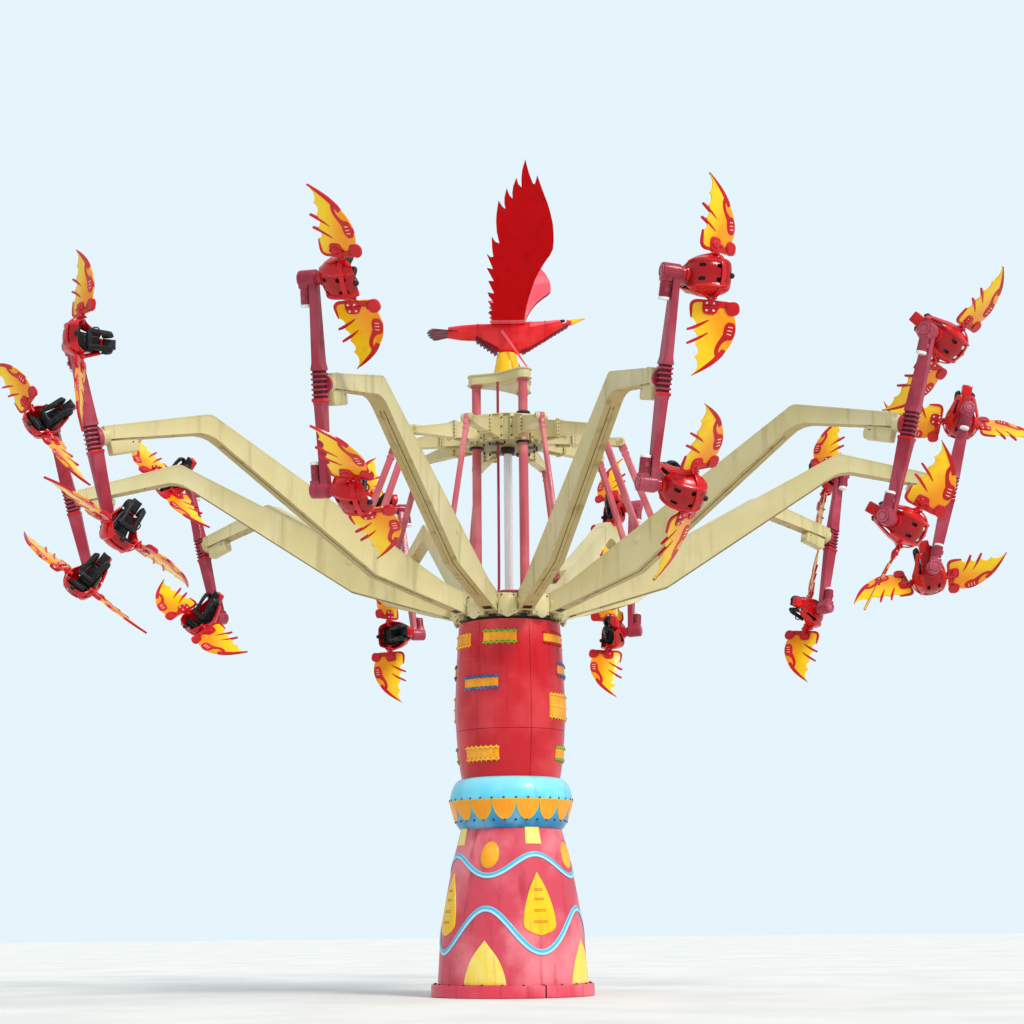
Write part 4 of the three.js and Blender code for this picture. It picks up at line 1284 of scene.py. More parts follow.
for number in range(1, ARMS + 1):
    boom = moved_copy(beam, spin_frame(number - 1))
    made = piece(f"boom_beam_{number}", boom, f"boom_{number}",
                 [MAROON, RIB_PAINTED_SHADE, SCARLET, CAP_PINK, BLACK_STEEL, CAP_WHITE])
    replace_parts(made, f"boom_{number}")


# Gondolas. Twenty one-seat pods of scarlet glass fibre, bolted to the roll drives' flanges. The pod is an
# open shell, narrow at the head and wide at the hips, with ridges, hand slots, side fins, a head block and
# a black seat bucket.
ROLL_DEG = [
    (60.1, 42.9), (97.4, 62.2), (59.1, 71.5), (6, 26.8), (90, 88.3),
    (80, 84.5), (88, 106.1), (62, 51.4), (69.9, 54), (103.3, 45.7),
]
SHELL_BACK = flowing([
    (0.216, 0.40), (0.188, 0.29), (0.18, 0.12), (0.188, -0.06), (0.226, -0.20), (0.312, -0.325),
    (0.456, -0.39), (0.64, -0.398), (0.77, -0.362), (0.84, -0.275),
], 5)
SHELL_LIP = flowing([
    (0.332, 0.40), (0.352, 0.29), (0.385, 0.17), (0.43, 0.085), (0.495, 0.03), (0.565, -0.01), (0.63, -0.045),
    (0.70, -0.085), (0.765, -0.135), (0.812, -0.20),
], 5)
SHELL_HALF = flowing([
    (0.165, 0.0), (0.198, 0.111), (0.245, 0.222), (0.286, 0.333), (0.308, 0.444), (0.312, 0.556),
    (0.296, 0.72), (0.272, 0.86), (0.238, 1.0),
], 4)
SHELL_RIDGES = (0.30, 0.70)
SHELL_PANEL = 0.185
SHELL_SLOTS = [(0.20, 0.30, 0.14, 0.34), (0.39, 0.45, 0.53, 0.61), (0.38, 0.44, 0.75, 0.82)]
SHELL_WALL = 0.024
SHELL_GRID = (56, 30)
RIDGE_SPREAD = 0.026
RIDGE_HEIGHT = 0.024
PANEL_SUNK = 0.016
LIP_ROLL = 0.010
HIPS = Vector((0, 0.47, -0.1))
KNOB = Vector((0, 0.86, -0.30))
WING_AXIS = Vector((0, 0.62, -0.11))


def gondola_frame(index, end):
    """A gondola's frame at rest: X to the rider's right, Y forward and Z to the rider's head."""
    roll = math.radians(ROLL_DEG[index][0 if end > 0 else 1])
    return spin_frame(index) @ Matrix.Translation((0, 0, end * BOOM_HALF)) @ Matrix.Rotation(-roll, 4, "Y")


def along(curve, share):
    """A point at a share of a curve's length in steps."""
    spot = min(max(share, 0.0), 1.0) * (len(curve) - 1)
    first = min(int(spot), len(curve) - 2)
    part = spot - first
    return [a + (b - a) * part for a, b in zip(curve[first], curve[first + 1])]


def shell_point(across, down, lift=0.0):
    """A point of the pod's outer skin: across from 0 to 1, and down from the head end to the front."""
    back = along(SHELL_BACK, down)
    lip = along(SHELL_LIP, down)
    turn = math.pi * across
    deep = math.sin(turn) ** 0.72
    side = math.copysign(abs(math.cos(turn)) ** 0.72, math.cos(turn))
    half = radius_on(SHELL_HALF, down)
    reach = Vector((back[0] - lip[0], back[1] - lip[1]))
    out = reach.normalized() * math.sin(turn)
    x = half * side + lift * math.cos(turn)
    return Vector((x, lip[0] + reach.x * deep + out.x * lift, lip[1] + reach.y * deep + out.y * lift))


BLACK_PLASTIC = weathered("black_plastic", (26, 26, 28), (54, 54, 56), (14, 14, 14), 0.42, grain=5)
# A deeper red painted as the shade in the pod's sunk panel.
SCARLET_PAINTED_SHADE = weathered(
    "scarlet_recess_painted_shade", (168, 6, 16), (190, 22, 30), (104, 2, 10), 0.3, fading=0.35, coat=0.2, grain=2
)


def add_band(mesh, path, centre, thickness, finish=0, sides=12):
    """A strap with rounded edges swept along points of place and width, its face away from a centre."""
    points = [Vector(p[:3]) for p in path]
    rings = []
    for k, point in enumerate(points):
        ahead = (points[min(k + 1, len(points) - 1)] - points[max(k - 1, 0)]).normalized()
        out = point - Vector(centre)
        out = (out - ahead * out.dot(ahead)).normalized()
        side = ahead.cross(out)
        ring_verts = []
        for n in range(sides):
            c = math.cos(TURN * (n + 0.5) / sides)
            s = math.sin(TURN * (n + 0.5) / sides)
            u = path[k][3] / 2 * math.copysign(abs(c) ** 0.5, c)
            v = thickness / 2 * math.copysign(abs(s) ** 0.5, s)
            ring_verts.append(mesh.verts.new(point + side * u + out * v))
        rings.append(ring_verts)
    join_rings(mesh, rings, finish)


shell = bmesh.new()
bmesh.ops.create_grid(shell, x_segments=SHELL_GRID[0], y_segments=SHELL_GRID[1], size=1)
openings = []
# Faces of the sunk middle panel take the deeper red as painted shade.
for face in shell.faces:
    middle = face.calc_center_median()
    across = 0.5 - abs(middle.x) / 2
    down = (middle.y + 1) / 2
    if any(a < across < b and c < down < d for a, b, c, d in SHELL_SLOTS):
        openings.append(face)
    elif 0.5 - across < SHELL_PANEL:
        face.material_index = 3
bmesh.ops.delete(shell, geom=openings, context="FACES")
slot_rim = [v for v in shell.verts if v.is_boundary and max(abs(v.co.x), abs(v.co.y)) < 0.99]
for _ in range(2):
    bmesh.ops.smooth_vert(shell, verts=slot_rim, factor=0.5, use_axis_x=True, use_axis_y=True)
for vert in shell.verts:
    across = (vert.co.x + 1) / 2
    down = (vert.co.y + 1) / 2
    ridge = sum(math.exp(-((across - middle) / RIDGE_SPREAD) ** 2) for middle in SHELL_RIDGES)
    sunk = min(1.0, max(0.0, (SHELL_PANEL - abs(across - 0.5)) / 0.02))
    fade = min(1.0, down * 8) * min(1.0, (1 - down) * 8)
    lip = math.exp(-((min(across, 1 - across)) / 0.02) ** 2)
    lift = (RIDGE_HEIGHT * ridge - PANEL_SUNK * sunk) * fade + LIP_ROLL * lip
    vert.co = shell_point(min(max(across, 0.0005), 0.9995), down, lift)
deepest = min(shell.faces, key=lambda face: (face.calc_center_median() - Vector((0, 0.47, -0.39))).length)
if deepest.normal.dot(deepest.calc_center_median() - HIPS) < 0:
    bmesh.ops.reverse_faces(shell, faces=shell.faces)
bmesh.ops.solidify(shell, geom=[*shell.verts, *shell.edges, *shell.faces], thickness=SHELL_WALL)
bmesh.ops.recalc_face_normals(shell, faces=shell.faces)
for radius, start, stop, sides, tip in (
    (0.112, 0.1104, 0.215, 36, None), (0.138, 0.150, 0.172, 40, None), (0.13, 0.172, 0.25, 40, 0.18),
):
    add_rod(shell, radius, (0, start, 0), (0, stop, 0), sides, tip)
add_bolt_circle(shell, turned((0, 0.150, 0), "X"), 0.122, 8, 0.009, 2)
add_box(shell, (-0.105, 0.19, 0.372), (0.105, 0.345, 0.638), 0.026)
add_ball(shell, Matrix.Translation(KNOB), (0.048, 0.048, 0.048), 20, 12)
tint([face for face in shell.faces if (face.calc_center_median() - KNOB).length < 0.049], 1)
add_rod(shell, 0.02, (0, 0.755, -0.325), KNOB, 16, None, 1)
bucket = bmesh.new()
add_side_plate(bucket, [
    (0.218, 0.366), (0.312, 0.374), (0.328, -0.12), (0.372, -0.205), (0.452, -0.232), (0.69, -0.205),
    (0.735, -0.175), (0.735, -0.245), (0.665, -0.325), (0.436, -0.345), (0.276, -0.25), (0.214, -0.05),
], -0.2, 0.2, 0.02, 1)
bmesh.ops.transform(bucket, matrix=Matrix.Rotation(math.pi / 2, 4, "Z"), verts=bucket.verts)
for vert in bucket.verts:
    vert.co.x *= 1 - 0.36 * min(1.0, max(0.0, vert.co.z / 0.38))
FIN = [(0.03, 0.07), (0.12, 0.11), (0.24, 0.15), (0.36, 0.17), (0.46, 0.16)]
parts = [shell, bucket]
for side in (-1, 1):
    fin = bmesh.new()
    sweep = [(*shell_point(0.10, down, 0.006), wide) for down, wide in FIN]
    sweep += [(0.356, 0.54, -0.108, 0.12), (0.392, 0.605, -0.11, 0.10)]
    add_band(fin, [(side * x, y, z, wide) for x, y, z, wide in flowing(sweep, 3)], (0, 0.5, -0.1), 0.042)
    parts.append(fin)
half_strap = [
    (0.372, 0.615, -0.03, 0.085), (0.362, 0.628, -0.13, 0.09), (0.328, 0.645, -0.245, 0.088),
    (0.252, 0.66, -0.345, 0.085), (0.14, 0.672, -0.402, 0.082),
]
strap = [*half_strap, (0, 0.676, -0.42, 0.08), *[(-x, y, z, wide) for x, y, z, wide in reversed(half_strap)]]
carrier = bmesh.new()
add_band(carrier, flowing(strap, 5), (0, 0.6, -0.05), 0.024)
for side in (-1, 1):
    shaft = [WING_AXIS + Vector((side * x, 0, 0)) for x in (0.24, 0.365, 0.385, 0.50)]
    add_rod(carrier, 0.05, shaft[0], shaft[3], 24)
    add_rod(carrier, 0.078, shaft[1], shaft[2], 28)
    for y, z in arc((0, 0), 0.064, 45, 90, 4):
        add_bolt(carrier, turned(shaft[2] + Vector((0, y, z)), "Y", side), 0.008, 4)
parts.append(carrier)
pod_shape = gathered(parts)

# Wings. A pair of flat moulded wings on each gondola, orange shading to yellow at the feathered trailing
# edge, the yellow partly a painted highlight. Red mouldings stand proud on both faces: tip border, wavy
# stripe, slotted pad, two fingers, root border and root knob.
WING_TILT_DEG = [
    [[15, 0], [8, -10]], [[-25, 15], [-25, -40]], [[0, 12], [50, -30]], [[-45, 65], [45, -50]],
    [[-20, 30], [33, -30]], [[10, -10], [-20, -20]], [[-30, 10], [-35, 20]], [[12, 5], [38, 40]],
    [[-45, 14], [13, 2]], [[-5, 35], [8, 6]],
]
WING_LEAD = flowing([
    (0.60, 0.345), (0.70, 0.40), (0.85, 0.415), (1.00, 0.395), (1.16, 0.325), (1.32, 0.20), (1.46, 0.055),
    (1.58, -0.11), (1.672, -0.262),
], 4)
WING_TRAIL = [
    *flowing([(1.672, -0.262), (1.59, -0.20), (1.50, -0.17), (1.40, -0.19), (1.355, -0.235)], 3)[1:],
    *flowing([(1.355, -0.235), (1.30, -0.18), (1.22, -0.18), (1.14, -0.235)], 3)[1:],
    *flowing([(1.14, -0.235), (1.06, -0.20), (0.98, -0.215), (0.92, -0.27)], 3)[1:],
    *flowing([(0.92, -0.27), (0.84, -0.235), (0.76, -0.255), (0.70, -0.33)], 3)[1:],
]
WING_ROOT = [(0.46, -0.345), (0.405, -0.26), (0.405, 0.26), (0.46, 0.33)]


def strip(line, widths):
    """A closed outline of a band that follows a line, with its width at each point."""
    left = []
    right = []
    for k, point in enumerate(line):
        ahead = (Vector(line[min(k + 1, len(line) - 1)]) - Vector(line[max(k - 1, 0)])).normalized()
        side = Vector((-ahead.y, ahead.x)) * widths[k] / 2
        left.append(tuple(Vector(point) + side))
        right.append(tuple(Vector(point) - side))
    return left + right[::-1]


def smooth_strip(*points, steps=3):
    """A band that follows a smooth curve through points, each with its width."""
    curve = flowing(points, steps)
    return strip([(x, z) for x, z, _ in curve], [max(wide, 0.006) for _, _, wide in curve])


def blob(x, z, wide, high, turn=0.0, steps=28, power=0.8):
    """A rounded outline, squarer as the power falls."""
    a = math.radians(turn)
    outline = []
    for k in range(steps):
        c = math.cos(TURN * k / steps)
        s = math.sin(TURN * k / steps)
        u = wide * math.copysign(abs(c) ** power, c)
        v = high * math.copysign(abs(s) ** power, s)
        outline.append((x + u * math.cos(a) - v * math.sin(a), z + u * math.sin(a) + v * math.cos(a)))
    return outline


def wing_finish():
    """Orange gelcoat at the root and front, yellow along the feathered edge, partly as a painted highlight.
    """
    finish = Finish("wing_orange_yellow_and_painted_highlight", paint(250, 160, 10), 0.26, coat=0.22)
    span = finish.node("Attribute", {"attribute_name": "span"}, {}, "Fac")
    chord = finish.node("Attribute", {"attribute_name": "chord"}, {}, "Fac")
    # Yellow toward the trailing edge and the tip, partly as a painted highlight.
    edge = finish.between(span * 0.42 - chord, 0.12, 0.62)
    mottled = finish.noise(3.2)
    color = finish.mix(edge, paint(249, 150, 2), paint(255, 208, 20))
    color = finish.mix(finish.between(mottled, 0.45, 0.7) * 0.35, color, paint(253, 184, 10))
    dirt = finish.between(finish.noise(9, (1, 1, 0.4), 5), 0.6, 0.75)
    finish.feed("Base Color", finish.mix(dirt * 0.25, color, paint(206, 96, 8)))
    finish.feed("Roughness", dirt * 0.2 + 0.22)
    finish.relief(finish.noise(30), 0.003, 0.3)
    return finish.material


WING_ORANGE = wing_finish()
WING_RED = weathered(
    "wing_red", (198, 10, 20), (218, 42, 46), (130, 4, 14), 0.26, fading=0.45, staining=0.3, coat=0.2, grain=2
)
WING_PALE = weathered("wing_dash", (252, 206, 170), (254, 226, 200), (230, 150, 110), 0.4, grain=6)
BOLT_WHITE = weathered("white_bolt", (236, 232, 226), (248, 246, 240), (170, 160, 150), 0.4, grain=8)

half_wing = bmesh.new()
add_side_plate(half_wing, [*WING_LEAD, *WING_TRAIL, *WING_ROOT], -0.014, 0.014, 0.006)
for outline, half, soften in (
    (smooth_strip((1.21, 0.245, 0.075), (1.30, 0.185, 0.085), (1.42, 0.075, 0.075), (1.55, -0.085, 0.05),
                  (1.674, -0.264, 0.008)), 0.022, 0.007),
    (smooth_strip((1.335, 0.12, 0.03), (1.26, 0.12, 0.07), (1.17, 0.135, 0.07), (1.08, 0.185, 0.075),
                  (1.00, 0.255, 0.12)), 0.020, 0.006),
    (blob(0.90, 0.315, 0.150, 0.098, -8), 0.024, 0.008),
    (smooth_strip((0.425, 0.10, 0.04), (0.425, -0.20, 0.05), (0.44, -0.285, 0.055), (0.49, -0.335, 0.055),
                  (0.60, -0.335, 0.045), (0.715, -0.325, 0.02)), 0.021, 0.006),
    (smooth_strip((0.915, -0.385, 0.036), (0.87, -0.27, 0.05), (0.80, -0.14, 0.042), (0.735, -0.03, 0.012)),
     0.023, 0.008),
    (smooth_strip((1.145, -0.375, 0.034), (1.09, -0.265, 0.048), (1.02, -0.14, 0.04), (0.945, -0.03, 0.012)),
     0.023, 0.008),
    (blob(0.52, -0.03, 0.125, 0.125, 0, 24, 0.6), 0.036, 0.012),
    (blob(0.525, 0.345, 0.115, 0.115, 10), 0.040, 0.016),
    (smooth_strip((0.46, -0.02, 0.11), (0.465, 0.14, 0.10), (0.475, 0.26, 0.12), (0.49, 0.34, 0.14)),
     0.028, 0.008),
):
    add_side_plate(half_wing, outline, -half, half, soften, 1, rounds=1)
for face_side in (-1, 1):
    for span in (0.835, 0.895, 0.955):
        rise = 0.355 - 0.15 * (span - 0.9)
        out = face_side * 0.0245
        add_rod(half_wing, 0.008, (span - 0.004, out, rise - 0.075), (span + 0.006, out, rise), 8, None, 2)
    out = face_side * 0.034
    add_rod(half_wing, 0.026, (0.52, out, -0.145), (0.52, out, 0.12), 14, None, 1)
    out = face_side * 0.040
    # A thin deeper-red block by the root knob, as painted shade.
    add_box(half_wing, (0.455, out - 0.003, 0.225), (0.56, out + 0.003, 0.27), 0.002, 4)
for span in (0.46, 0.58):
    for chord in (-0.085, 0.03):
        add_bolt(half_wing, turned((span, -0.036, chord), "X"), 0.016, 3)
add_ball(half_wing, Matrix.Translation((0.52, 0.034, -0.03)), (0.078, 0.036, 0.078), 18, 9, 1)
wing_span = half_wing.verts.layers.float.new("span")
wing_chord = half_wing.verts.layers.float.new("chord")
for vert in half_wing.verts:
    vert[wing_span] = vert.co.x
    vert[wing_chord] = vert.co.z


def laid(side, tilt):
    """A wing's place in the gondola's frame, its leading edge down by the tilt, the left one turned over."""
    turn = Matrix.Translation(WING_AXIS) @ Matrix.Rotation(-math.radians(tilt) - math.pi / 2, 4, "X")
    return Matrix.Diagonal((side, 1, 1, 1)) @ turn @ Matrix.Diagonal((1, side, 1, 1))


# Seat padding and shoulder restraint. Black vinyl cushions lie in the bucket, and a hinged restraint of two
# padded tubes comes over the shoulders to a padded bar across the chest. The cushions are blown up by a
# cloth simulation.
VOXEL = 0.018
SWELL = 0.014
AIR_PRESSURE = 4
AIR_FRAMES = 20


def vinyl_finish():
    finish = Finish("black_vinyl", paint(30, 31, 34), 0.5)
    grain = finish.node("TexVoronoi", {}, {"Vector": finish.place, "Scale": 260})
    scuffs = finish.between(finish.noise(7, (1, 1, 1), 5), 0.55, 0.75)
    finish.feed("Base Color", finish.mix(scuffs * 0.5, paint(28, 29, 32), paint(72, 72, 76)))
    finish.feed("Roughness", scuffs * 0.2 + 0.4)
    finish.relief(grain, 0.0015, 0.35)
    return finish.material


BLACK_VINYL = vinyl_finish()


def cushion(low, high, pinch):
    """A cushion blown up from a softened block whose sides are drawn in between its corners."""
    start = bmesh.new()
    add_box(start, low, high, 0.018)
    holder = held("cushion", start)
    remesh = holder.modifiers.new("even", "REMESH")
    remesh.mode = "VOXEL"
    remesh.voxel_size = VOXEL
    holder.data = evaluated(holder)
    holder.modifiers.clear()
    before = [vert.co.copy() for vert in holder.data.vertices]
    cloth = holder.modifiers.new("air", "CLOTH")
    cloth.settings.use_pressure = True
    cloth.settings.uniform_pressure_force = AIR_PRESSURE
    cloth.settings.effector_weights.gravity = 0
    for number in range(1, AIR_FRAMES + 1):
        bpy.context.scene.frame_set(number)
    swollen = evaluated(holder)
    holder.modifiers.clear()
    bpy.context.scene.frame_set(1)
    for vert, blown, at in zip(holder.data.vertices, swollen.vertices, before):
        way = blown.co - at
        vert.co = at + way * min(1.0, SWELL / max(way.length, 1e-6))
    made = bmesh.new()
    made.from_mesh(holder.data)
    bpy.data.objects.remove(holder)
    low = Vector(low)
    high = Vector(high)
    middle = (low + high) / 2
    half = (high - low) / 2
    for vert in made.verts:
        share = [(vert.co[n] - middle[n]) / half[n] for n in range(3)]
        for n in range(3):
            others = [min(1.0, abs(share[m])) for m in range(3) if m != n]
            draw = pinch * (1 - others[0] ** 2) * (1 - others[1] ** 2) * (min(1.0, abs(share[n])) ** 4)
            if half[n] > 0.06:
                vert.co[n] -= math.copysign(draw, share[n])
    return made


seat = cushion((-0.17, 0.365, -0.222), (0.17, 0.70, -0.165), 0.018)
back = cushion((-0.17, 0.305, -0.14), (0.17, 0.362, 0.36), 0.016)
for vert in back.verts:
    vert.co.x *= 1 - 0.25 * min(1.0, max(0.0, vert.co.z / 0.37))
rest = cushion((-0.098, 0.335, 0.40), (0.098, 0.395, 0.66), 0.010)
seat_set = gathered([seat, back, rest])

restraint = bmesh.new()
over = flowing([
    (0.150, 0.335, 0.40, 0.075), (0.152, 0.36, 0.475, 0.09), (0.150, 0.43, 0.52, 0.10),
    (0.145, 0.505, 0.50, 0.115), (0.142, 0.55, 0.40, 0.12), (0.144, 0.575, 0.25, 0.11),
    (0.148, 0.60, 0.11, 0.10), (0.155, 0.612, 0.01, 0.08),
], 5)
for side in (-1, 1):
    add_band(restraint, [(side * x, y, z, wide) for x, y, z, wide in over], (0, 0.40, 0.22), 0.074, 0, 16)
    grip = [(0.15, 0.60, 0.10), (0.20, 0.635, 0.11), (0.20, 0.655, 0.19), (0.15, 0.615, 0.23)]
    add_pipe(restraint, flowing([(side * x, y, z) for x, y, z in grip], 4), 0.013, 10, 1)
chest = cushion((-0.165, 0.58, -0.02), (0.165, 0.64, 0.095), 0.010)
restraint = gathered([restraint, chest])

POD_FINISHES = [SCARLET, BLACK_PLASTIC, BOLT_STEEL, SCARLET_PAINTED_SHADE, BOLT_WHITE]
WING_FINISHES = [WING_ORANGE, WING_RED, WING_PALE, BOLT_WHITE, SCARLET_PAINTED_SHADE]
for k in range(ARMS):
    for end, where in ((1, "upper"), (-1, "lower")):
        number = k + 1
        body = f"gondola_{number}_{where}"
        place = gondola_frame(k, end)
        right, left = WING_TILT_DEG[k][0 if end > 0 else 1]
        pair = [moved_copy(half_wing, place @ laid(1, right)), moved_copy(half_wing, place @ laid(-1, left))]
        made = {}
        for part, mesh, finishes, sharp in (
            ("pod", moved_copy(pod_shape, place), POD_FINISHES, 38),
            ("wings", gathered(pair), WING_FINISHES, 38),
            ("seat_pads", moved_copy(seat_set, place), [BLACK_VINYL], 60),
            ("restraint", moved_copy(restraint, place), [BLACK_VINYL, BLACK_PLASTIC], 60),
        ):
            made[part] = piece(f"{part}_{number}_{where}", mesh, body, finishes, sharp)
        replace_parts(made["pod"], body)

# Bird and its stand. A sheet-metal bird with a faceted, riveted body and two raised wings of flat plate cut
# into feathers, painted red with dark edges. It stands on a yellow cone on the mast, held by two slim
# braces.
BIRD_WING = [
    (-0.300, -0.110), (-0.285, 0.065), (-0.355, 0.310), (-0.270, 0.315), (-0.360, 0.510), (-0.250, 0.490),
    (-0.390, 0.755), (-0.240, 0.715), (-0.370, 1.025), (-0.250, 1.015), (-0.395, 1.330), (-0.265, 1.295),
    (-0.390, 1.650), (-0.318, 1.575), (-0.260, 1.585), (-0.285, 1.80), (-0.290, 2.050), (-0.215, 1.93),
    (-0.130, 1.885), (-0.185, 2.180), (-0.195, 2.400), (-0.185, 2.575), (-0.140, 2.865), (-0.060, 2.72),
    (0.005, 2.670), (-0.022, 2.800), (-0.020, 2.930), (0.030, 3.140), (0.080, 2.980), (0.145, 2.900),
    (0.140, 3.040), (0.160, 3.175), (0.225, 3.365), (0.265, 3.22), (0.330, 3.145), (0.325, 3.330),
    (0.340, 3.520), (0.405, 3.765), (0.480, 3.46), (0.560, 3.230), (0.595, 3.215), (0.622, 3.31),
    (0.645, 3.415), (0.775, 3.025), (0.860, 2.79), (0.920, 2.560), (0.965, 2.34), (0.982, 2.130),
    (0.985, 1.94), (0.970, 1.765), (0.905, 1.62), (0.825, 1.500), (0.745, 1.36), (0.665, 1.210),
    (0.590, 1.03), (0.530, 0.840), (0.475, 0.65), (0.430, 0.460), (0.398, 0.27), (0.375, 0.080),
    (0.370, -0.110),
]
WING_LEAN = math.radians(47)
STAND_BOTTOM = 12.6803
STAND_FOOT = 12.70
STAND_TOP = 13.17
SHOULDER = (0.12, 13.8)
BIRD_RED = weathered(
    "bird_red", (202, 0, 10), (214, 14, 20), (140, 0, 22), 0.42, fading=0.5, staining=0.4, grain=0.7,
    shine=0.08,
)
# Pink for the bird's upward faces, painted as highlight.
BIRD_PAINTED_HIGHLIGHT = weathered(
    "bird_red_painted_highlight", (240, 84, 98), (252, 132, 140), (206, 52, 70), 0.4, fading=0.6, staining=0.25, grain=1.5,
    shine=0.12,
)
# A brighter copy of the bird's red for the body, painted as sunlight.
BIRD_PAINTED_SUNLIT_RED = weathered(
    "bird_red_painted_sunlight", (226, 24, 30), (244, 72, 74), (160, 8, 26), 0.36, fading=0.6, grain=1.5, shine=0.14
)
# Dark maroon for the wing rims and rivets, and as painted shade on the tail.
BIRD_MAROON_AND_PAINTED_SHADE = weathered("bird_maroon_and_painted_shade", (104, 10, 34), (140, 26, 48), (60, 6, 20), 0.4, grain=3)
BIRD_YELLOW = weathered(
    "bird_yellow", (252, 196, 24), (254, 214, 70), (226, 146, 20), 0.34, fading=0.5, coat=0.12, grain=2
)

feathers = []
for side in (-1, 1):
    plate_mesh = bmesh.new()
    add_side_plate(plate_mesh, BIRD_WING, -0.022, 0.022)
    # Each wing's upper face takes the pink painted highlight, and its rim the dark maroon.
    for face in plate_mesh.faces:
        if abs(face.normal.y) < 0.5:
            face.material_index = 2
        elif face.normal.y * side < 0:
            face.material_index = 1
    # The pink strip along the wing root is a painted highlight.
    add_box(plate_mesh, (-0.31, -0.040, 0.03), (0.40, 0.040, 0.11), 0.008, 1)
    for n in range(14):
        for face_side in (-1, 1):
            spot = turned((-0.285 + 0.05 * n, face_side * 0.040, 0.07), "X", -face_side)
            add_bolt(plate_mesh, spot, 0.007, 2)
    shoulder = Matrix.Translation((0, side * SHOULDER[0], SHOULDER[1]))
    lean = shoulder @ Matrix.Rotation(-side * WING_LEAN, 4, "X")
    bmesh.ops.transform(plate_mesh, matrix=lean, verts=plate_mesh.verts)
    feathers.append(plate_mesh)

BIRD_SECTIONS = [
    (-1.24, 13.770, 13.530, 0.150), (-0.95, 13.810, 13.480, 0.165), (-0.62, 13.835, 13.465, 0.175),
    (-0.35, 13.845, 13.330, 0.185), (-0.10, 13.865, 13.165, 0.200), (0.20, 13.880, 13.155, 0.200),
    (0.48, 13.885, 13.235, 0.195), (0.80, 13.895, 13.440, 0.172), (1.05, 13.915, 13.610, 0.142),
    (1.20, 13.922, 13.712, 0.118), (1.32, 13.908, 13.780, 0.085), (1.37, 13.895, 13.805, 0.062),
]
body = bmesh.new()


def body_middle(top, bottom):
    """The height of the bird's broadest line in a section."""
    return (top + bottom) / 2 + 0.12 * (top - bottom)


edge_sets = []
for x, top, bottom, half in BIRD_SECTIONS:
    ring_verts = bmesh.ops.create_circle(body, segments=10, radius=1)["verts"]
    middle = body_middle(top, bottom)
    for vert in ring_verts:
        reach = top - middle if vert.co.y > 0 else middle - bottom
        vert.co = Vector((x, vert.co.x * half, middle + vert.co.y * reach))
    edge_sets.append(list({edge for vert in ring_verts for edge in vert.link_edges}))
for one, two in zip(edge_sets, edge_sets[1:]):
    bmesh.ops.bridge_loops(body, edges=one + two)
bmesh.ops.holes_fill(body, edges=[e for e in body.edges if e.is_boundary])
bmesh.ops.recalc_face_normals(body, faces=body.faces)
for face in body.faces:
    middle = face.calc_center_median()
    # The head's upward faces take the pink painted highlight, and the rest of the body the brighter painted
    # sunlit red.
    face.material_index = 1 if middle.x > 0.62 and face.normal.z > 0.2 else 5
for x, top, bottom, half in (BIRD_SECTIONS[n] for n in (2, 6, 7)):
    middle = body_middle(top, bottom)
    for k in range(26):
        turn = TURN * k / 26
        rise = math.sin(turn)
        reach = top - middle if rise > 0 else middle - bottom
        spot = Vector((x + 0.012, math.cos(turn) * half * 0.97, middle + rise * reach * 0.97))
        out = Vector((0, math.cos(turn) * reach, rise * half)).normalized()
        add_rod(body, 0.008, spot, spot + out * 0.012, 8, None, 2)
beak = Matrix.Translation((1.505, 0, 13.898)) @ Matrix.Rotation(math.radians(74), 4, "Y")
add_cone(body, beak @ Matrix.Diagonal((0.9, 0.62, 1, 1)), 0.080, 0.014, 0.32, 16)
tint([face for face in body.faces if face.calc_center_median().x > 1.375], 3)
add_rod(body, 0.026, (1.62, 0, 13.938), (1.665, 0, 13.922), 12, 0.008, 3)
for side in (-1, 1):
    for x, z, size, shade in (
        (1.180, 13.852, (0.066, 0.020, 0.036), 4), (1.192, 13.845, (0.078, 0.012, 0.040), 6)
    ):
        eye_place = Matrix.Translation((x, side * 0.113, z)) @ Matrix.Rotation(side * 0.22, 4, "Z")
        add_ball(body, eye_place, size, 16, 10, shade)
    add_rod(body, 0.034, (-0.10, side * 0.19, 13.62), (0.45, side * 0.50, STAND_FOOT), 12, 0.016, 1)
    add_box(body, (0.39, side * 0.50 - 0.05, STAND_BOTTOM), (0.51, side * 0.50 + 0.05, STAND_FOOT), 0.004, 2)
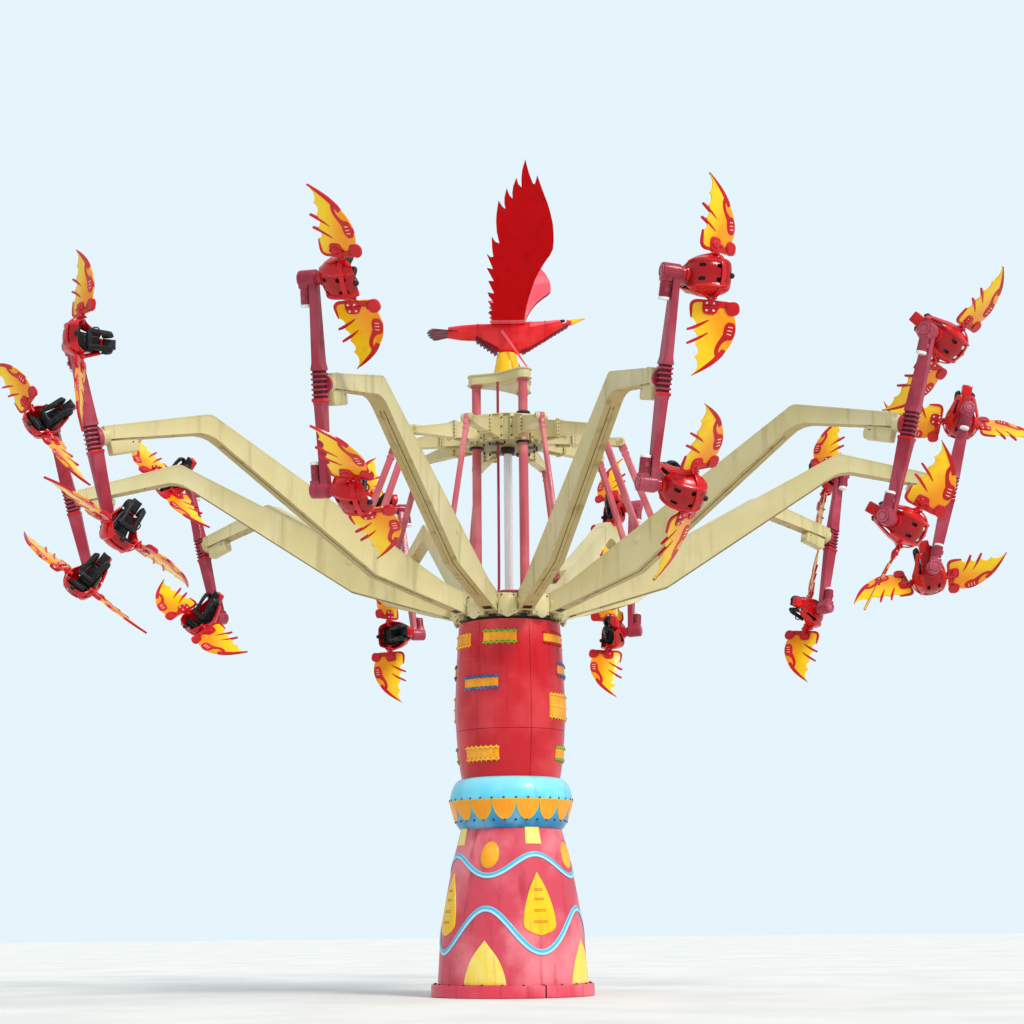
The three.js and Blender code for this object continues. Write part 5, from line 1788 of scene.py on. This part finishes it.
# The tail's quills are all dark maroon, painted as the shade under the fanned tail.
for n in range(-3, 4):
    quill = bmesh.new()
    add_side_plate(quill, [
        (0.0, -0.05), (-0.50, -0.062), (-0.76, -0.055), (-0.83, -0.02), (-0.80, 0.0), (-0.83, 0.02),
        (-0.76, 0.055), (-0.50, 0.062), (0.0, 0.05),
    ], -0.008, 0.008, 0.003, 2)
    place = Matrix.Translation((-0.86, 0, 13.690 - 0.006 * abs(n)))
    for angle, axis in ((9.5 * n, "Z"), (-3.5, "Y"), (4 * n, "X"), (-90, "X")):
        place = place @ Matrix.Rotation(math.radians(angle), 4, axis)
    bmesh.ops.transform(quill, matrix=place, verts=quill.verts)
    body = gathered([body, quill])
for start, stop, count, depth, half in (
    ((-0.66, 13.500), (-0.22, 13.185), 6, 0.050, 0.13), ((0.33, 13.170), (1.30, 13.770), 12, 0.014, 0.07)
):
    ahead = (Vector(stop) - Vector(start)) / count
    down = Vector((ahead.y, -ahead.x)).normalized()
    outline = []
    for k in range(count):
        base = Vector(start) + ahead * k
        outline += [tuple(base), tuple(base + ahead * 0.75 + down * depth)]
    outline += [tuple(stop), tuple(Vector(stop) - down * 0.05), tuple(Vector(start) - down * 0.05)]
    teeth = bmesh.new()
    add_side_plate(teeth, outline, -half, half, 0.0, 2)
    body = gathered([body, teeth])
feathers.append(body)
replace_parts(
    piece("bird_on_mast", gathered(feathers), "turntable",
          [BIRD_RED, BIRD_PAINTED_HIGHLIGHT, BIRD_MAROON_AND_PAINTED_SHADE, BIRD_YELLOW, BLACK_PLASTIC, BIRD_PAINTED_SUNLIT_RED, CAP_WHITE], 24),
    "eagle_statue",
)
stand = lathe([
    (0.0, STAND_BOTTOM), (0.30, STAND_BOTTOM), (0.30, STAND_FOOT), (0.288, STAND_FOOT + 0.005),
    (0.262, 12.85), (0.205, STAND_TOP - 0.015), (0.19, STAND_TOP), (0.0, STAND_TOP),
], 48)
add_bolt_circle(stand, Matrix.Translation((0, 0, STAND_FOOT)), 0.28, 10, 0.009, 1, 0)
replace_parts(piece("bird_stand", stand, "turntable", [BIRD_YELLOW, BOLT_STEEL]), "eagle_stand")
